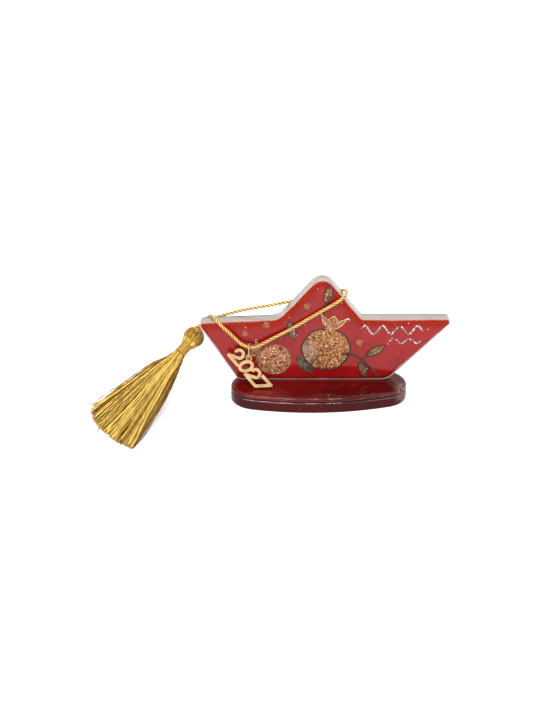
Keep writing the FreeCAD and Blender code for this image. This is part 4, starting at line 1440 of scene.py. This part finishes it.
class CHARM_OT_lines(PieceOperator, Operator):
    """Make the dark painted contours and stems"""

    bl_idname = "charm.lines"
    bl_label = "Painted lines"

    def build(self, scene):
        dark = dark_line(scene.charm_paint)
        brown = line_paint("Brown line paint", (0.20, 0.060, 0.030), (0.34, 0.15, 0.09))
        rng = np.random.default_rng(31)
        crowns = {
            "contour_large": ("pomegranate_large", "crown_large"),
            "contour_small": ("pomegranate_small", "crown_small"),
        }
        for node in ("contour_large", "contour_small", "stem_right", "stem_top"):
            out = 1.1 if node.startswith("stem") else 0.62
            loops, front, back = brushed_loops(node, 0.2 * MM, 0.46 * MM, rng, out)
            if node in crowns:
                centre, tip = (middle_of(fruit) for fruit in crowns[node])
                way = math.atan2(tip[1] - centre[1], tip[0] - centre[0])
                loops = open_ring(loops, centre, way, 0.30)
            shell = Shell()
            paint_patch(shell, loops, back, 0.25 * MM, 0.34 * MM, 0.05 * MM, (back - front) * 0.6)
            if node == "stem_right":
                self.twigs(shell, loops[0], back, rng)
            paint = brown if node == "contour_small" else dark
            shell.make(node + "_brushed", paint, "ornament", node)

    def twigs(self, shell, stem, back, rng):
        """Short twigs from the stem to the two leaves at the right."""
        for node in ("leaf_right_upper", "leaf_right_lower"):
            leaf = even_loop(front_loops(node)[0][0], 0.3 * MM)
            gaps = np.linalg.norm(leaf[:, None] - stem[None], axis=2)
            a, b = np.unravel_index(np.argmin(gaps), gaps.shape)
            inner = leaf[a] + (middle_of(node) - leaf[a]) * 0.25
            bend = (stem[b] + inner) / 2 + np.array((0.35, -0.35)) * MM
            t = np.linspace(0, 1, 14)[:, None]
            twig = (1 - t) ** 2 * stem[b] + 2 * t * (1 - t) * bend + t**2 * inner
            stroke(shell, twig, back - 0.30 * MM, 0.34 * MM, rng)


class CHARM_OT_leaves(PieceOperator, Operator):
    """Make the glitter leaves with their dark outlines, and the dark leaf"""

    bl_idname = "charm.leaves"
    bl_label = "Leaves"

    def build(self, scene):
        paint = scene.charm_paint
        bronze = glitter_paint(
            "Bronze leaf glitter", (0.045, 0.014, 0.005), (0.21, 0.092, 0.026), (0.58, 0.35, 0.14), 0.7, 420.0, 0.4,
        )
        lilac = glitter_paint(
            "Grey lilac leaf glitter", (0.09, 0.035, 0.028), (0.26, 0.18, 0.16), (0.52, 0.42, 0.39), 0.7, 420.0, 0.4,
        )
        dark, size = dark_line(paint), paint.grain * 0.66
        for k, node in enumerate(("leaf_top", "leaf_left", "leaf_right_upper", "leaf_right_lower")):
            material = lilac if node == "leaf_left" else bronze
            make_glitter_piece(node + "_glitter", node, material, size, 41 + k, 0.42, 0.4, 0.15, 0.16)
            self.outline(node, dark, 61 + k)
        rng = np.random.default_rng(55)
        loops, front, back = brushed_loops("leaf_dark", 0.3 * MM, 0.3 * MM, rng)
        shell = Shell()
        paint_patch(shell, loops, back, 0.5 * MM, 1.0 * MM, 0.06 * MM, (back - front) * 0.6)
        shell.make("leaf_dark_brushed", dark_leaf_paint(), "ornament", "leaf_dark")

    def outline(self, node, dark, seed):
        """Dark line round a leaf and along its middle."""
        rng = np.random.default_rng(seed)
        loops, _, back = front_loops(node)
        loop = even_loop(loops[0], 0.3 * MM)
        gaps = np.linalg.norm(loop[:, None] - loop[None], axis=2)
        a, b = np.unravel_index(np.argmax(gaps), gaps.shape)
        one, two = loop[a], loop[b]
        closed = np.vstack([loop, loop[:1]])
        shell = Shell()
        level = back - 0.36 * MM
        stroke(shell, closed, level, 0.28 * MM, rng)
        vein = one + (two - one) * np.linspace(0.08, 0.9, 18)[:, None]
        stroke(shell, vein, level, 0.18 * MM, rng)
        shell.make(node + "_outline", dark, "ornament")


class CHARM_OT_flourish(PieceOperator, Operator):
    """Make the silver glitter waves"""

    bl_idname = "charm.flourish"
    bl_label = "Silver waves"

    def build(self, scene):
        silver = glitter_paint(
            "Silver glitter", (0.07, 0.018, 0.018), (0.36, 0.255, 0.255), (0.86, 0.76, 0.77), 0.8, 700.0, 0.45,
        )
        size = scene.charm_paint.grain * 1.15
        for k, node in enumerate(("flourish_upper", "flourish_lower")):
            make_glitter_piece(node + "_glitter", node, silver, size, 71 + k, 0.5, 0.6, 0.30, 0.22)


class CHARM_OT_flakes(PieceOperator, Operator):
    """Make the gold leaf flakes under the glaze"""

    bl_idname = "charm.flakes"
    bl_label = "Gold flakes"

    def build(self, scene):
        gold = leaf_metal()
        for k in range(1, 5):
            node = f"flake_{k}"
            rng = np.random.default_rng(80 + k)
            loops, _, back = brushed_loops(node, 0.25 * MM, 0.9 * MM, rng, 0.75)
            shell = Shell()
            paint_patch(shell, loops, back, 0.5 * MM, 0.3 * MM, 0.02 * MM, 0.05 * MM)
            shell.make(node + "_leaf", gold, "ornament", node)


class CHARM_OT_metal(PieceOperator, Operator):
    """Finish the number charm and its jump ring"""

    bl_idname = "charm.metal"
    bl_label = "Number charm"

    def build(self, scene):
        metal = scene.charm_metal
        gold = plated_gold(metal)
        for node in ("number_charm", "jump_ring"):
            set_material(node, gold)
        soften("number_charm", metal.soften, 3)


class CHARM_PT_panel(Panel):
    """Lists the charm's pieces"""

    bl_idname = "CHARM_PT_panel"
    bl_label = "Boat Lucky Charm"
    bl_space_type = "VIEW_3D"
    bl_region_type = "UI"
    bl_category = "Charm"

    def draw(self, context):
        for operator in OPERATORS:
            self.layout.operator(operator.bl_idname)
        for name, group in SETTINGS.items():
            box = self.layout.box()
            box.label(text=group.__doc__)
            for label in group.__annotations__:
                box.prop(getattr(context.scene, name), label)


OPERATORS = (
    CHARM_OT_stage,
    CHARM_OT_base,
    CHARM_OT_plate,
    CHARM_OT_enamel,
    CHARM_OT_fruits,
    CHARM_OT_lines,
    CHARM_OT_leaves,
    CHARM_OT_flourish,
    CHARM_OT_flakes,
    CHARM_OT_metal,
    CHARM_OT_knot,
    CHARM_OT_tassel_head,
    CHARM_OT_tassel_neck,
    CHARM_OT_tassel_skirt,
    CHARM_OT_cord,
)
CLASSES = (*SETTINGS.values(), *OPERATORS, CHARM_PT_panel)


def register():
    """Adds the classes and the scene's settings."""
    for item in CLASSES:
        bpy.utils.register_class(item)
    for name, group in SETTINGS.items():
        setattr(bpy.types.Scene, name, PointerProperty(type=group))


def unregister():
    """Takes the settings and the classes away again."""
    for name in SETTINGS:
        delattr(bpy.types.Scene, name)
    for item in reversed(CLASSES):
        bpy.utils.unregister_class(item)


def main():
    """Makes every piece in order."""
    register()
    for operator in OPERATORS:
        getattr(bpy.ops.charm, operator.bl_idname.split(".")[1])()
    bpy.context.view_layer.update()


if __name__ == "__main__":
    main()
